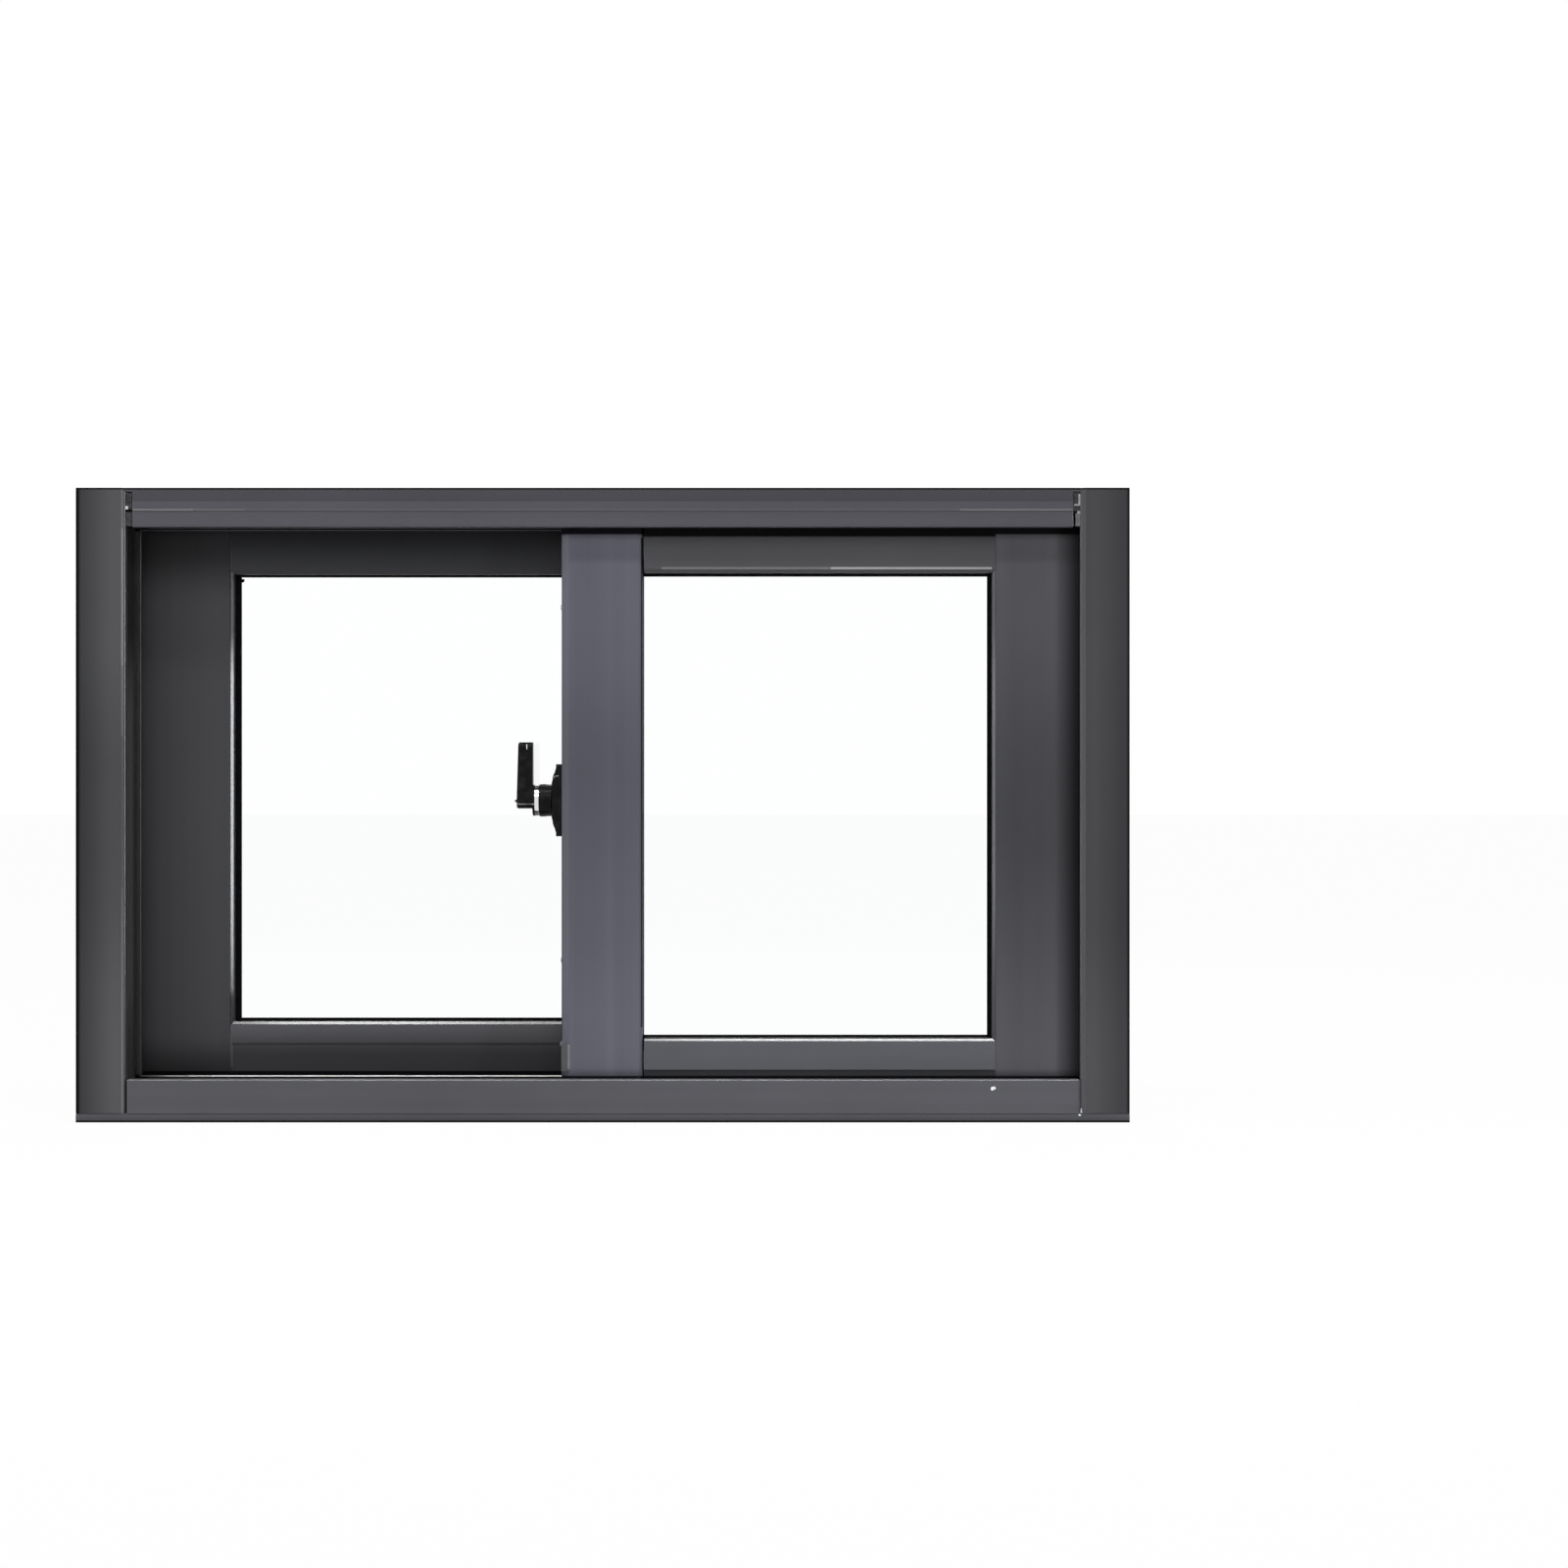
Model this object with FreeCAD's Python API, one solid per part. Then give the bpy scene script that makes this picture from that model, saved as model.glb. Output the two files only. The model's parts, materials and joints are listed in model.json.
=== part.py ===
import FreeCAD, Part
import os
from math import asin, cos, radians, sin

# A horizontal sliding window with two sashes in a three-track aluminium frame.
# X runs across the window, Y from the room side to the weather side, Z up.
# The origin is under the middle of the sill. Lengths are in millimetres.

# Overall size
WIDTH = 900.0
HEIGHT = 542.0

# Frame extrusions: visible faces, track floors, fin tips and walls
JAMB_FACE = 42.0
HEAD_FACE = 33.7
SILL_FACE = 36.6
JAMB_FLOOR = 24.0
HEAD_FLOOR = 10.0
SILL_FLOOR = 12.0
JAMB_FIN = 47.4
HEAD_FIN = 33.4
SILL_FIN = 36.0
FACE_DEPTH = 12.0
FRAME_WALL = 1.8
FACE_WALL = 2.6
REAR_WALL = 3.0
FIN_THICKNESS = 4.0
FIN_TIP_DROP = 1.4
FIN_TIP_SLOPE = 1.0
SILL_LIP = 7.6
JAMB_CHAMFER = 4.5
JAMB_CHAMFER_DEPTH = 1.6
LINE_WIDTH = 1.0
LINE_DEPTH = 1.0
EDGE_WIDTH = 0.9
EDGE_DEPTH = 0.65
HEAD_STEP = 11.4
HEAD_STEP_DEPTH = 1.4
HEAD_SETBACK = 0.65
HEAD_RIDGE = 19.2
HEAD_RIDGE_FLAT = 0.5
HEAD_COPE = 6.3
HEAD_COPE_TOP = 3.3
SILL_COPE = 1.6

# Rails that carry the rollers and guides that steer the sash tops
RAIL_THICKNESS = 2.0
RAIL_BEAD_RADIUS = 2.5
RAIL_BEAD_CENTRE = 23.5
GUIDE_TIP = 30.0
THIRD_TRACK_WIDTH = 15.0

# Screws through the jambs into the wall
FIXING_RADIUS = 2.5
FIXING_EDGE = 100.0

# Weep slots in the weather side of the sill
WEEP_LENGTH = 26.0
WEEP_HEIGHT = 5.0
WEEP_OFFSET = 300.0

# Sash extrusions
SASH_DEPTH = 32.0
SASH_WALL = 1.6
SASH_FOOT_CLEARANCE = 6.0
SASH_HEAD_CLEARANCE = 12.0
RUNNING_GAP = 2.0
JAMB_CLEARANCE = 7.0
BEVEL = 6.7
BEVEL_DEPTH = 4.0
LIP_BEVEL = 3.0
LIP_BEVEL_DEPTH = 2.2
LIP = 11.0
GLASS_POCKET = 12.0
ROLLER_CHANNEL = 30.0
GUIDE_CHANNEL = 14.0
NOTCH_WIDTH = 12.0
NOTCH_HEIGHT = 14.0
RAIL_STEP_DEPTH = 1.2
RAIL_SEAM = 1.2

# Face widths of stiles and rails, the step low on the bottom rail, and the gasket that
# shows at left, right, bottom and top
FRONT_MEETING_STILE = 69.6
FRONT_SIDE_STILE = 85.6
FRONT_BOTTOM_RAIL = 53.3
FRONT_TOP_RAIL = 49.8
FRONT_RAIL_STEP = 25.6
FRONT_GASKET = (0.6, 3.6, 1.5, 2.4)
REAR_MEETING_STILE = 68.3
REAR_SIDE_STILE = 95.5
REAR_BOTTOM_RAIL = 64.9
REAR_TOP_RAIL = 48.8
REAR_RAIL_STEP = 45.3
REAR_GASKET = (4.6, 2.6, 2.0, 1.8)
FRONT_MEETING_EDGE = -36.2
REAR_MEETING_EDGE = 32.3

# Glass and its wrap-round gasket
GLASS = 5.0
GLASS_SEAT = 3.0
GASKET_SLOPE = 1.0

# Interlock fins between the meeting stiles
HOOK_THICKNESS = 1.5
HOOK_LENGTH = 8.0
HOOK_REACH = 6.0
HOOK_POSITION = 4.0
HOOK_SPAN = 12.0
HOOK_END_GAP = 4.0

# Pile strips
PILE_BASE = 4.8
PILE_BASE_THICKNESS = 0.6
PILE_BRUSH = 2.0
PILE_SEAT = 2.6
FIN_PILE_SEAT = 4.2
TOUCH_GAP = 0.3
INTERLOCK_PILE_X = (-4.0, 26.0)

# Foam pads in the coped corners of the head
PAD_DEPTH = 7.0
PAD_GAP = 0.4
PAD_UPPER = (3.4, 15.2)
PAD_LOWER = (20.3, 12.6)

# Rollers
WHEEL_RADIUS = 10.0
WHEEL_GROOVE_RADIUS = 8.4
WHEEL_WIDTH = 7.0
WHEEL_GROOVE_WIDTH = 5.6
WHEEL_FLOOR_WIDTH = 2.4
AXLE_RADIUS = 2.0
BRACKET_LENGTH = 50.0
BRACKET_THICKNESS = 1.5
BRACKET_SIDE_GAP = 1.0
BRACKET_SKIRT = 17.0
ROLLER_INSET = 45.0

# Block at the lower corner of the front meeting stile
END_BLOCK_BOTTOM = 42.7
END_BLOCK_HEIGHT = 24.3

# Crescent lock on the free edge of the front meeting stile
LOCK_HEIGHT = 275.0
LOCK_BASE_LENGTH = 62.0
LOCK_BASE_THICKNESS = 8.7
LOCK_BASE_WIDTH = 22.0
LOCK_BASE_END = 3.0
LOCK_BASE_SHOULDER = 15.0
LOCK_BASE_END_THICKNESS = 5.0
SPINDLE_RADIUS = 4.0
SPINDLE_REACH = 6.0
CAM_GAP = 0.4
CAM_THICKNESS = 5.0
CAM_HUB_RADIUS = 13.8
CAM_RADIUS = 24.5
CAM_RIM = 3.5
CAM_TIP_ANGLE = -26.0
CAM_END_ANGLE = 30.0
CAM_WEB_THICKNESS = 6.5
HUB_RADIUS = 14.1
HUB_LENGTH = 5.8
HUB_EDGE = 0.6
RING_RADIUS = 13.3
RING_LENGTH = 3.4
LEVER_BOSS_RADIUS = 13.5
LEVER_BOSS_LENGTH = 2.0
LEVER_WIDTH = 14.0
LEVER_FOOT_RADIUS = 7.2
LEVER_TIP_RADIUS = 4.5
LEVER_REACH = 45.6
LEVER_SIDE_TAPER = 1.4
LEVER_EDGE = 1.0
LEVER_COLLAR_TOP = 0.4
LEVER_COLLAR_HEIGHT = 2.0
LEVER_COLLAR_PROUD = 1.1
LEVER_SLOT_PLACE = 5.1
LEVER_SLOT_WIDTH = 1.1
LEVER_SLOT_LENGTH = 6.5
LEVER_SLOT_DEPTH = 1.2

# Keeper on the rear meeting stile
KEEPER_THICKNESS = 2.0
KEEPER_LENGTH = 44.0
KEEPER_PLATE = 20.0
KEEPER_INSET = 8.0
KEEPER_ARM_HEIGHT = 14.0
KEEPER_TOOTH_DEPTH = 2.5
KEEPER_TOOTH_HEIGHT = 9.0
KEEPER_FRONT_GAP = 1.0

# Depths, counted from the room side of the frame
FRONT_SASH = FACE_DEPTH + RUNNING_GAP
FIRST_FIN = FRONT_SASH + SASH_DEPTH + RUNNING_GAP
REAR_SASH = FIRST_FIN + FIN_THICKNESS + RUNNING_GAP
SECOND_FIN = REAR_SASH + SASH_DEPTH + RUNNING_GAP
THIRD_TRACK = SECOND_FIN + FIN_THICKNESS
DEPTH = THIRD_TRACK + THIRD_TRACK_WIDTH + REAR_WALL
TRACKS = (FRONT_SASH + SASH_DEPTH / 2, REAR_SASH + SASH_DEPTH / 2,
          THIRD_TRACK + THIRD_TRACK_WIDTH / 2)

# Edges of the sashes, counted in the frame
SASH_BOTTOM = SILL_FLOOR + SASH_FOOT_CLEARANCE
SASH_TOP = HEIGHT - HEAD_FLOOR - SASH_HEAD_CLEARANCE
SIDE_EDGE = WIDTH / 2 - JAMB_FLOOR - JAMB_CLEARANCE

ALONG_X = FreeCAD.Vector(1, 0, 0)
ALONG_Y = FreeCAD.Vector(0, 1, 0)
ALONG_Z = FreeCAD.Vector(0, 0, 1)


def point(x, depth, z):
    """A point given by its depth from the room side."""
    return FreeCAD.Vector(x, depth - DEPTH / 2, z)


def box(x, depth, z, width, thickness, height):
    return Part.makeBox(width, thickness, height, point(x, depth, z))


def prism(outlines, place, direction, start, end):
    """Extrude the first outline, with the others as chambers, from start to end."""
    wires = [Part.makePolygon([place(*p) for p in outline + outline[:1]]) for outline in outlines]
    face = Part.makeFace(wires, "Part::FaceMakerBullseye")
    solid = face.extrude(direction * (end - start))
    solid.translate(direction * start)
    return solid.Solids[0]


def rectangle(low_a, high_a, low_b, high_b):
    return [(low_a, low_b), (high_a, low_b), (high_a, high_b), (low_a, high_b)]


def single(shape):
    """The one solid of a boolean result, with split faces joined again."""
    return shape.removeSplitter().Solids[0]


# Section frames: how far inwards from the outer edge, and the depth

def from_left(inwards, depth):
    return point(inwards - WIDTH / 2, depth, 0)


def from_right(inwards, depth):
    return point(WIDTH / 2 - inwards, depth, 0)


def from_top(inwards, depth):
    return point(0, depth, HEIGHT - inwards)


def from_bottom(inwards, depth):
    return point(0, depth, inwards)


# Frame members

def frame_outline(front, face, floor, ribs):
    """Front edge points, then the track floor with its ribs, then the rear wall."""
    points = front + [(face, FACE_DEPTH), (floor, FACE_DEPTH)]
    for centre, thickness, tip in sorted(ribs):
        low = centre - thickness / 2
        high = low + thickness
        points += [(floor, low), (tip - FIN_TIP_DROP, low), (tip, low + FIN_TIP_SLOPE)]
        points += [(tip, high), (floor, high)]
    inside = DEPTH - REAR_WALL
    return points + [(floor, inside), (face, inside), (face, DEPTH), (0, DEPTH)]


def fins(tip):
    return [(start + FIN_THICKNESS / 2, FIN_THICKNESS, tip) for start in (FIRST_FIN, SECOND_FIN)]


def ribs_in_tracks(tip):
    return [(centre, RAIL_THICKNESS, tip) for centre in TRACKS]


def frame_chambers(face, floor):
    """The hollow behind the face and the three hollows under the tracks."""
    front = rectangle(FRAME_WALL, face - FRAME_WALL - JAMB_CHAMFER_DEPTH, FACE_WALL, FACE_DEPTH - FRAME_WALL)
    low = FRAME_WALL
    high = floor - FRAME_WALL
    return [
        front,
        rectangle(low, high, FACE_DEPTH, FIRST_FIN),
        rectangle(low, high, FIRST_FIN + FIN_THICKNESS, SECOND_FIN),
        rectangle(low, high, THIRD_TRACK, DEPTH - REAR_WALL),
    ]


def jamb_outline():
    front = [(0, 0), (JAMB_FACE - JAMB_CHAMFER, 0), (JAMB_FACE, JAMB_CHAMFER_DEPTH)]
    return frame_outline(front, JAMB_FACE, JAMB_FLOOR, fins(JAMB_FIN))


def jamb_block(place):
    """The jamb filled in, as the shape that head and sill are coped to."""
    return prism([jamb_outline()], place, ALONG_Z, SILL_LIP, HEIGHT)


def jamb(place):
    """Hollow jamb standing on the lip of the sill, drilled for its fixing screws."""
    chambers = frame_chambers(JAMB_FACE, JAMB_FLOOR)
    solid = prism([jamb_outline()] + chambers, place, ALONG_Z, SILL_LIP, HEIGHT)
    for z in (FIXING_EDGE, HEIGHT - FIXING_EDGE):
        outer = place(0, TRACKS[2]) + ALONG_Z * z
        inner = place(JAMB_FLOOR, TRACKS[2]) + ALONG_Z * z
        hole = Part.makeCylinder(FIXING_RADIUS, JAMB_FLOOR, outer, inner - outer)
        solid = solid.cut(hole)
    return single(solid)


def between_jambs(solid, cope, cope_end):
    """Cope a head or sill to both jambs and cut its face back beside them, up to a height."""
    for place in (from_left, from_right):
        solid = solid.cut(jamb_block(place))
    end = WIDTH / 2 - JAMB_FACE - cope
    for x in (-end - JAMB_FACE, end):
        solid = solid.cut(box(x, 0, SILL_LIP, JAMB_FACE, FACE_DEPTH, cope_end - SILL_LIP))
    return solid


def head_outline():
    front = [
        (0, HEAD_STEP_DEPTH),
        (HEAD_STEP, HEAD_STEP_DEPTH),
        (HEAD_STEP, HEAD_SETBACK),
        (HEAD_RIDGE - EDGE_WIDTH, HEAD_SETBACK),
        (HEAD_RIDGE, HEAD_SETBACK - EDGE_DEPTH),
        (HEAD_RIDGE + HEAD_RIDGE_FLAT, HEAD_SETBACK - EDGE_DEPTH),
        (HEAD_RIDGE + HEAD_RIDGE_FLAT, HEAD_SETBACK),
        (HEAD_FACE - LINE_WIDTH, HEAD_SETBACK),
        (HEAD_FACE, HEAD_SETBACK + LINE_DEPTH),
    ]
    return frame_outline(front, HEAD_FACE, HEAD_FLOOR, fins(HEAD_FIN) + ribs_in_tracks(GUIDE_TIP))


def head():
    half = WIDTH / 2 - JAMB_FLOOR
    chambers = frame_chambers(HEAD_FACE, HEAD_FLOOR)
    solid = prism([head_outline()] + chambers, from_top, ALONG_X, -half, half)
    return single(between_jambs(solid, HEAD_COPE, HEIGHT - HEAD_COPE_TOP))


def sill_outline():
    front = [
        (0, 0),
        (SILL_LIP - LINE_WIDTH, 0),
        (SILL_LIP - LINE_WIDTH, LINE_DEPTH),
        (SILL_LIP, LINE_DEPTH),
        (SILL_LIP, 0),
        (SILL_FACE - EDGE_WIDTH, 0),
        (SILL_FACE, EDGE_DEPTH),
    ]
    ribs = fins(SILL_FIN) + ribs_in_tracks(RAIL_BEAD_CENTRE)
    return frame_outline(front, SILL_FACE, SILL_FLOOR, ribs)


def sill():
    """Full-width sill whose lip runs under the jambs, with a bead along each rail."""
    chambers = frame_chambers(SILL_FACE, SILL_FLOOR)
    solid = prism([sill_outline()] + chambers, from_bottom, ALONG_X, -WIDTH / 2, WIDTH / 2)
    for centre in TRACKS:
        start = point(-WIDTH / 2, centre, RAIL_BEAD_CENTRE)
        solid = solid.fuse(Part.makeCylinder(RAIL_BEAD_RADIUS, WIDTH, start, ALONG_X))
    solid = between_jambs(solid, SILL_COPE, SILL_FACE)
    for side in (-1, 1):
        x = side * WEEP_OFFSET - WEEP_LENGTH / 2
        slot = box(x, DEPTH - REAR_WALL, SILL_FLOOR, WEEP_LENGTH, REAR_WALL, WEEP_HEIGHT)
        solid = solid.cut(slot)
    return single(solid)


def corner_pads():
    """Foam pads on the jamb edges, in the gaps beside the head's face."""
    pads = []
    edge = WIDTH / 2 - JAMB_FACE
    width = HEAD_COPE - PAD_GAP
    for x in (-edge, edge - width):
        for top, height in (PAD_UPPER, PAD_LOWER):
            pads.append(box(x, JAMB_CHAMFER_DEPTH, HEIGHT - top - height, width, PAD_DEPTH, height))
    return Part.makeCompound(pads)


# Pile strips

def pile_outline(seat, depth, towards, reach):
    """Backing and brush of a strip, seated at a depth and pointing fore or aft."""
    half_base = PILE_BASE / 2
    half_brush = PILE_BRUSH / 2
    shoulder = depth + towards * PILE_BASE_THICKNESS
    tip = depth + towards * reach
    return [
        (seat - half_base, depth),
        (seat + half_base, depth),
        (seat + half_base, shoulder),
        (seat + half_brush, shoulder),
        (seat + half_brush, tip),
        (seat - half_brush, tip),
        (seat - half_brush, shoulder),
        (seat - half_base, shoulder),
    ]


def member_pile(place, direction, face, fin, start, end):
    """The four strips that brush both faces of both sashes along one member."""
    reach = RUNNING_GAP - TOUCH_GAP
    seats = [
        (face - PILE_SEAT, FACE_DEPTH, 1),
        (fin - FIN_PILE_SEAT, FIRST_FIN, -1),
        (fin - FIN_PILE_SEAT, FIRST_FIN + FIN_THICKNESS, 1),
        (fin - FIN_PILE_SEAT, SECOND_FIN, -1),
    ]
    return [prism([pile_outline(seat, depth, towards, reach)], place, direction, start, end)
            for seat, depth, towards in seats]


def jamb_pile():
    start = SILL_FACE
    end = HEIGHT - HEAD_FACE
    strips = member_pile(from_left, ALONG_Z, JAMB_FACE, JAMB_FIN, start, end)
    strips += member_pile(from_right, ALONG_Z, JAMB_FACE, JAMB_FIN, start, end)
    return Part.makeCompound(strips)


def head_and_sill_pile():
    end = WIDTH / 2 - JAMB_FIN - HEAD_COPE
    strips = member_pile(from_top, ALONG_X, HEAD_FACE, HEAD_FIN, -end, end)
    strips += member_pile(from_bottom, ALONG_X, SILL_FACE, SILL_FIN, -end, end)
    return Part.makeCompound(strips)


# Sash members: how far inwards from the sash's outer edge, and the depth in the sash

def sash_outline(face, channel=0, outer_bevel=0, step=0):
    """Section with a glass pocket, bevelled lips and an optional open channel."""
    back = SASH_DEPTH
    front = [(0, 0)]
    rear = [(0, back)]
    if outer_bevel:
        front = [(0, BEVEL_DEPTH), (outer_bevel, 0)]
        rear = [(outer_bevel, back), (0, back - BEVEL_DEPTH)]
    if step:
        front = [(0, RAIL_STEP_DEPTH), (step, RAIL_STEP_DEPTH), (step, 0)]
    pocket = face - GLASS_POCKET
    points = front + [
        (face - LIP_BEVEL, 0),
        (face, LIP_BEVEL_DEPTH),
        (face, LIP),
        (pocket, LIP),
        (pocket, back - LIP),
        (face, back - LIP),
        (face, back - LIP_BEVEL_DEPTH),
        (face - LIP_BEVEL, back),
    ] + rear
    if channel:
        wall = SASH_WALL + RAIL_STEP_DEPTH
        points += [(0, back - wall), (channel, back - wall), (channel, wall), (0, wall)]
    return points


def sash_chambers(face, channel=0, outer_bevel=0):
    """The main hollow and the two hollows of the lips."""
    wall = SASH_WALL
    start = max(channel, outer_bevel) + wall
    pocket = face - GLASS_POCKET
    side = wall
    if channel:
        side = wall + RAIL_STEP_DEPTH
    chambers = [rectangle(start, pocket - wall, side, SASH_DEPTH - side)]
    for low in (wall, SASH_DEPTH - LIP + wall):
        chambers.append(rectangle(pocket, face - LIP_BEVEL, low, low + LIP - 2 * wall))
    return chambers


def sash_place(edge, towards, depth, upright):
    """Section frame of a sash member that starts at an outer edge."""
    def place(inwards, own_depth):
        across = edge + towards * inwards
        if upright:
            return point(across, depth + own_depth, 0)
        return point(0, depth + own_depth, across)
    return place


class Sash:
    """Edges and face widths of one sash, and where its glass pocket lies."""

    def __init__(self, name, depth, track, left, right, left_face, right_face, bottom_face, top_face,
                 step, gasket, meeting):
        self.name = name
        self.depth = depth
        self.track = track
        self.left = left
        self.right = right
        self.left_face = left_face
        self.right_face = right_face
        self.bottom_face = bottom_face
        self.top_face = top_face
        self.step = step
        self.gasket = gasket
        self.meeting = meeting
        self.inner_left = left + left_face
        self.inner_right = right - right_face
        self.inner_bottom = SASH_BOTTOM + bottom_face
        self.inner_top = SASH_TOP - top_face


FRONT = Sash("front_sash", FRONT_SASH, TRACKS[0], FRONT_MEETING_EDGE, SIDE_EDGE,
             FRONT_MEETING_STILE, FRONT_SIDE_STILE, FRONT_BOTTOM_RAIL, FRONT_TOP_RAIL,
             FRONT_RAIL_STEP, FRONT_GASKET, "left")
REAR = Sash("rear_sash", REAR_SASH, TRACKS[1], -SIDE_EDGE, REAR_MEETING_EDGE,
            REAR_SIDE_STILE, REAR_MEETING_STILE, REAR_BOTTOM_RAIL, REAR_TOP_RAIL,
            REAR_RAIL_STEP, REAR_GASKET, "right")


def stile_section(sash, side):
    if side == "left":
        return sash_place(sash.left, 1, sash.depth, True), sash.left_face
    return sash_place(sash.right, -1, sash.depth, True), sash.right_face


def stile_block(sash, side):
    """The stile filled in, as the shape that the rails are coped to."""
    place, face = stile_section(sash, side)
    bevel = BEVEL if side == sash.meeting else 0
    return prism([sash_outline(face, 0, bevel)], place, ALONG_Z, SASH_BOTTOM, SASH_TOP)


def stile(sash, side):
    """Hollow stile, notched at its foot for the rail and at its head for the guide."""
    place, face = stile_section(sash, side)
    bevel = BEVEL if side == sash.meeting else 0
    outlines = [sash_outline(face, 0, bevel)] + sash_chambers(face, 0, bevel)
    solid = prism(outlines, place, ALONG_Z, SASH_BOTTOM, SASH_TOP)
    start = sash.left if side == "left" else sash.right - face
    for z in (SASH_BOTTOM, SASH_TOP - NOTCH_HEIGHT):
        notch = box(start, sash.track - NOTCH_WIDTH / 2, z, face, NOTCH_WIDTH, NOTCH_HEIGHT)
        solid = solid.cut(notch)
    if side == sash.meeting:
        solid = solid.fuse(interlock(sash))
    return single(solid)


def interlock(sash):
    """Hooked fin on the face of a meeting stile that looks at the other sash."""
    bottom = SILL_FIN + HOOK_END_GAP
    height = HEIGHT - HEAD_FIN - HOOK_END_GAP - bottom
    if sash is FRONT:
        x = HOOK_POSITION
        root = sash.depth + SASH_DEPTH
        finger = root + HOOK_REACH - HOOK_THICKNESS
        finger_x = x
    else:
        x = HOOK_POSITION + HOOK_SPAN
        root = sash.depth - HOOK_REACH
        finger = root
        finger_x = x + HOOK_THICKNESS - HOOK_LENGTH
    web = box(x, root, bottom, HOOK_THICKNESS, HOOK_REACH, height)
    return web.fuse(box(finger_x, finger, bottom, HOOK_LENGTH, HOOK_THICKNESS, height))


def rail(sash, top):
    """Hollow rail, open outwards for rollers or guides, coped to both stiles.

    Its lips stop short of the meeting stile, so that a seam shows there.
    """
    if top:
        place = sash_place(SASH_TOP, -1, sash.depth, False)
        face = sash.top_face
        channel = GUIDE_CHANNEL
        step = 0
    else:
        place = sash_place(SASH_BOTTOM, 1, sash.depth, False)
        face = sash.bottom_face
        channel = ROLLER_CHANNEL
        step = sash.step
    outlines = [sash_outline(face, channel, 0, step)] + sash_chambers(face, channel)
    start = sash.inner_left - LIP_BEVEL
    end = sash.inner_right + LIP_BEVEL
    solid = prism(outlines, place, ALONG_X, start, end)
    for side in ("left", "right"):
        solid = solid.cut(stile_block(sash, side))
    edge = sash.inner_left if sash.meeting == "left" else sash.inner_right
    width = LIP_BEVEL + RAIL_SEAM
    seam_start = edge - LIP_BEVEL if sash.meeting == "left" else edge - RAIL_SEAM
    for depth in (sash.depth, sash.depth + SASH_DEPTH - LIP):
        solid = solid.cut(box(seam_start, depth, SASH_BOTTOM, width, LIP, SASH_TOP - SASH_BOTTOM))
    return single(solid)


def glass(sash):
    """Pane that stands in the pockets of stiles and rails, off their floors by the seat."""
    reach = GLASS_POCKET - GLASS_SEAT
    x = sash.inner_left - reach
    z = sash.inner_bottom - reach
    width = sash.inner_right + reach - x
    height = sash.inner_top + reach - z
    return box(x, sash.track - GLASS / 2, z, width, GLASS, height)


def opening_wire(sash, slope, depth):
    """The clear opening inside the gasket, wider by the slope on each side."""
    shown_left, shown_right, shown_bottom, shown_top = sash.gasket
    left = sash.inner_left + shown_left - slope
    right = sash.inner_right - shown_right + slope
    bottom = sash.inner_bottom + shown_bottom - slope
    top = sash.inner_top - shown_top + slope
    corners = [(left, bottom), (right, bottom), (right, top), (left, top), (left, bottom)]
    return Part.makePolygon([point(x, depth, z) for x, z in corners])


def gasket(sash):
    """Channel-shaped seal round the edge of the glass, with sloped edges on both faces."""
    low = sash.depth + LIP
    high = sash.depth + SASH_DEPTH - LIP
    reach = GLASS_POCKET
    ring = box(sash.inner_left - reach, low, sash.inner_bottom - reach,
               sash.inner_right - sash.inner_left + 2 * reach, high - low,
               sash.inner_top - sash.inner_bottom + 2 * reach)
    glass_faces = (sash.track - GLASS / 2, sash.track + GLASS / 2)
    for outer, inner in ((low, glass_faces[0]), (high, glass_faces[1])):
        wide = opening_wire(sash, GASKET_SLOPE, outer)
        narrow = opening_wire(sash, 0, inner)
        ring = ring.cut(Part.makeLoft([wide, narrow], True, True))
    return single(ring.cut(glass(sash)))


# Rollers

def wheel_centre():
    return RAIL_BEAD_CENTRE + RAIL_BEAD_RADIUS + TOUCH_GAP + WHEEL_GROOVE_RADIUS


def roller_places(sash):
    return (sash.inner_left + ROLLER_INSET, sash.inner_right - ROLLER_INSET)


def wheel(sash, x):
    """Grooved wheel on the rail's bead, turned about its axle."""
    bore = AXLE_RADIUS + TOUCH_GAP
    half = WHEEL_WIDTH / 2
    section = [
        (bore, -half),
        (WHEEL_RADIUS, -half),
        (WHEEL_RADIUS, -WHEEL_GROOVE_WIDTH / 2),
        (WHEEL_GROOVE_RADIUS, -WHEEL_FLOOR_WIDTH / 2),
        (WHEEL_GROOVE_RADIUS, WHEEL_FLOOR_WIDTH / 2),
        (WHEEL_RADIUS, WHEEL_GROOVE_WIDTH / 2),
        (WHEEL_RADIUS, half),
        (bore, half),
    ]
    centre = point(x, sash.track, wheel_centre())
    corners = [centre + FreeCAD.Vector(radius, offset, 0) for radius, offset in section]
    face = Part.Face(Part.makePolygon(corners + corners[:1]))
    return face.revolve(centre, ALONG_Y, 360)


def bracket(sash, x):
    """Folded carriage under the roof of the channel, with the wheel's axle in it."""
    roof = SASH_BOTTOM + ROLLER_CHANNEL
    inside = WHEEL_WIDTH / 2 + BRACKET_SIDE_GAP
    outside = inside + BRACKET_THICKNESS
    bottom = roof - BRACKET_SKIRT
    start = x - BRACKET_LENGTH / 2
    shape = box(start, sash.track - outside, bottom, BRACKET_LENGTH, 2 * outside, BRACKET_SKIRT)
    hollow = box(start, sash.track - inside, bottom, BRACKET_LENGTH, 2 * inside,
                 BRACKET_SKIRT - BRACKET_THICKNESS)
    axle_start = point(x, sash.track - outside, wheel_centre())
    axle = Part.makeCylinder(AXLE_RADIUS, 2 * outside, axle_start, ALONG_Y)
    return single(shape.cut(hollow).fuse(axle))


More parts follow.
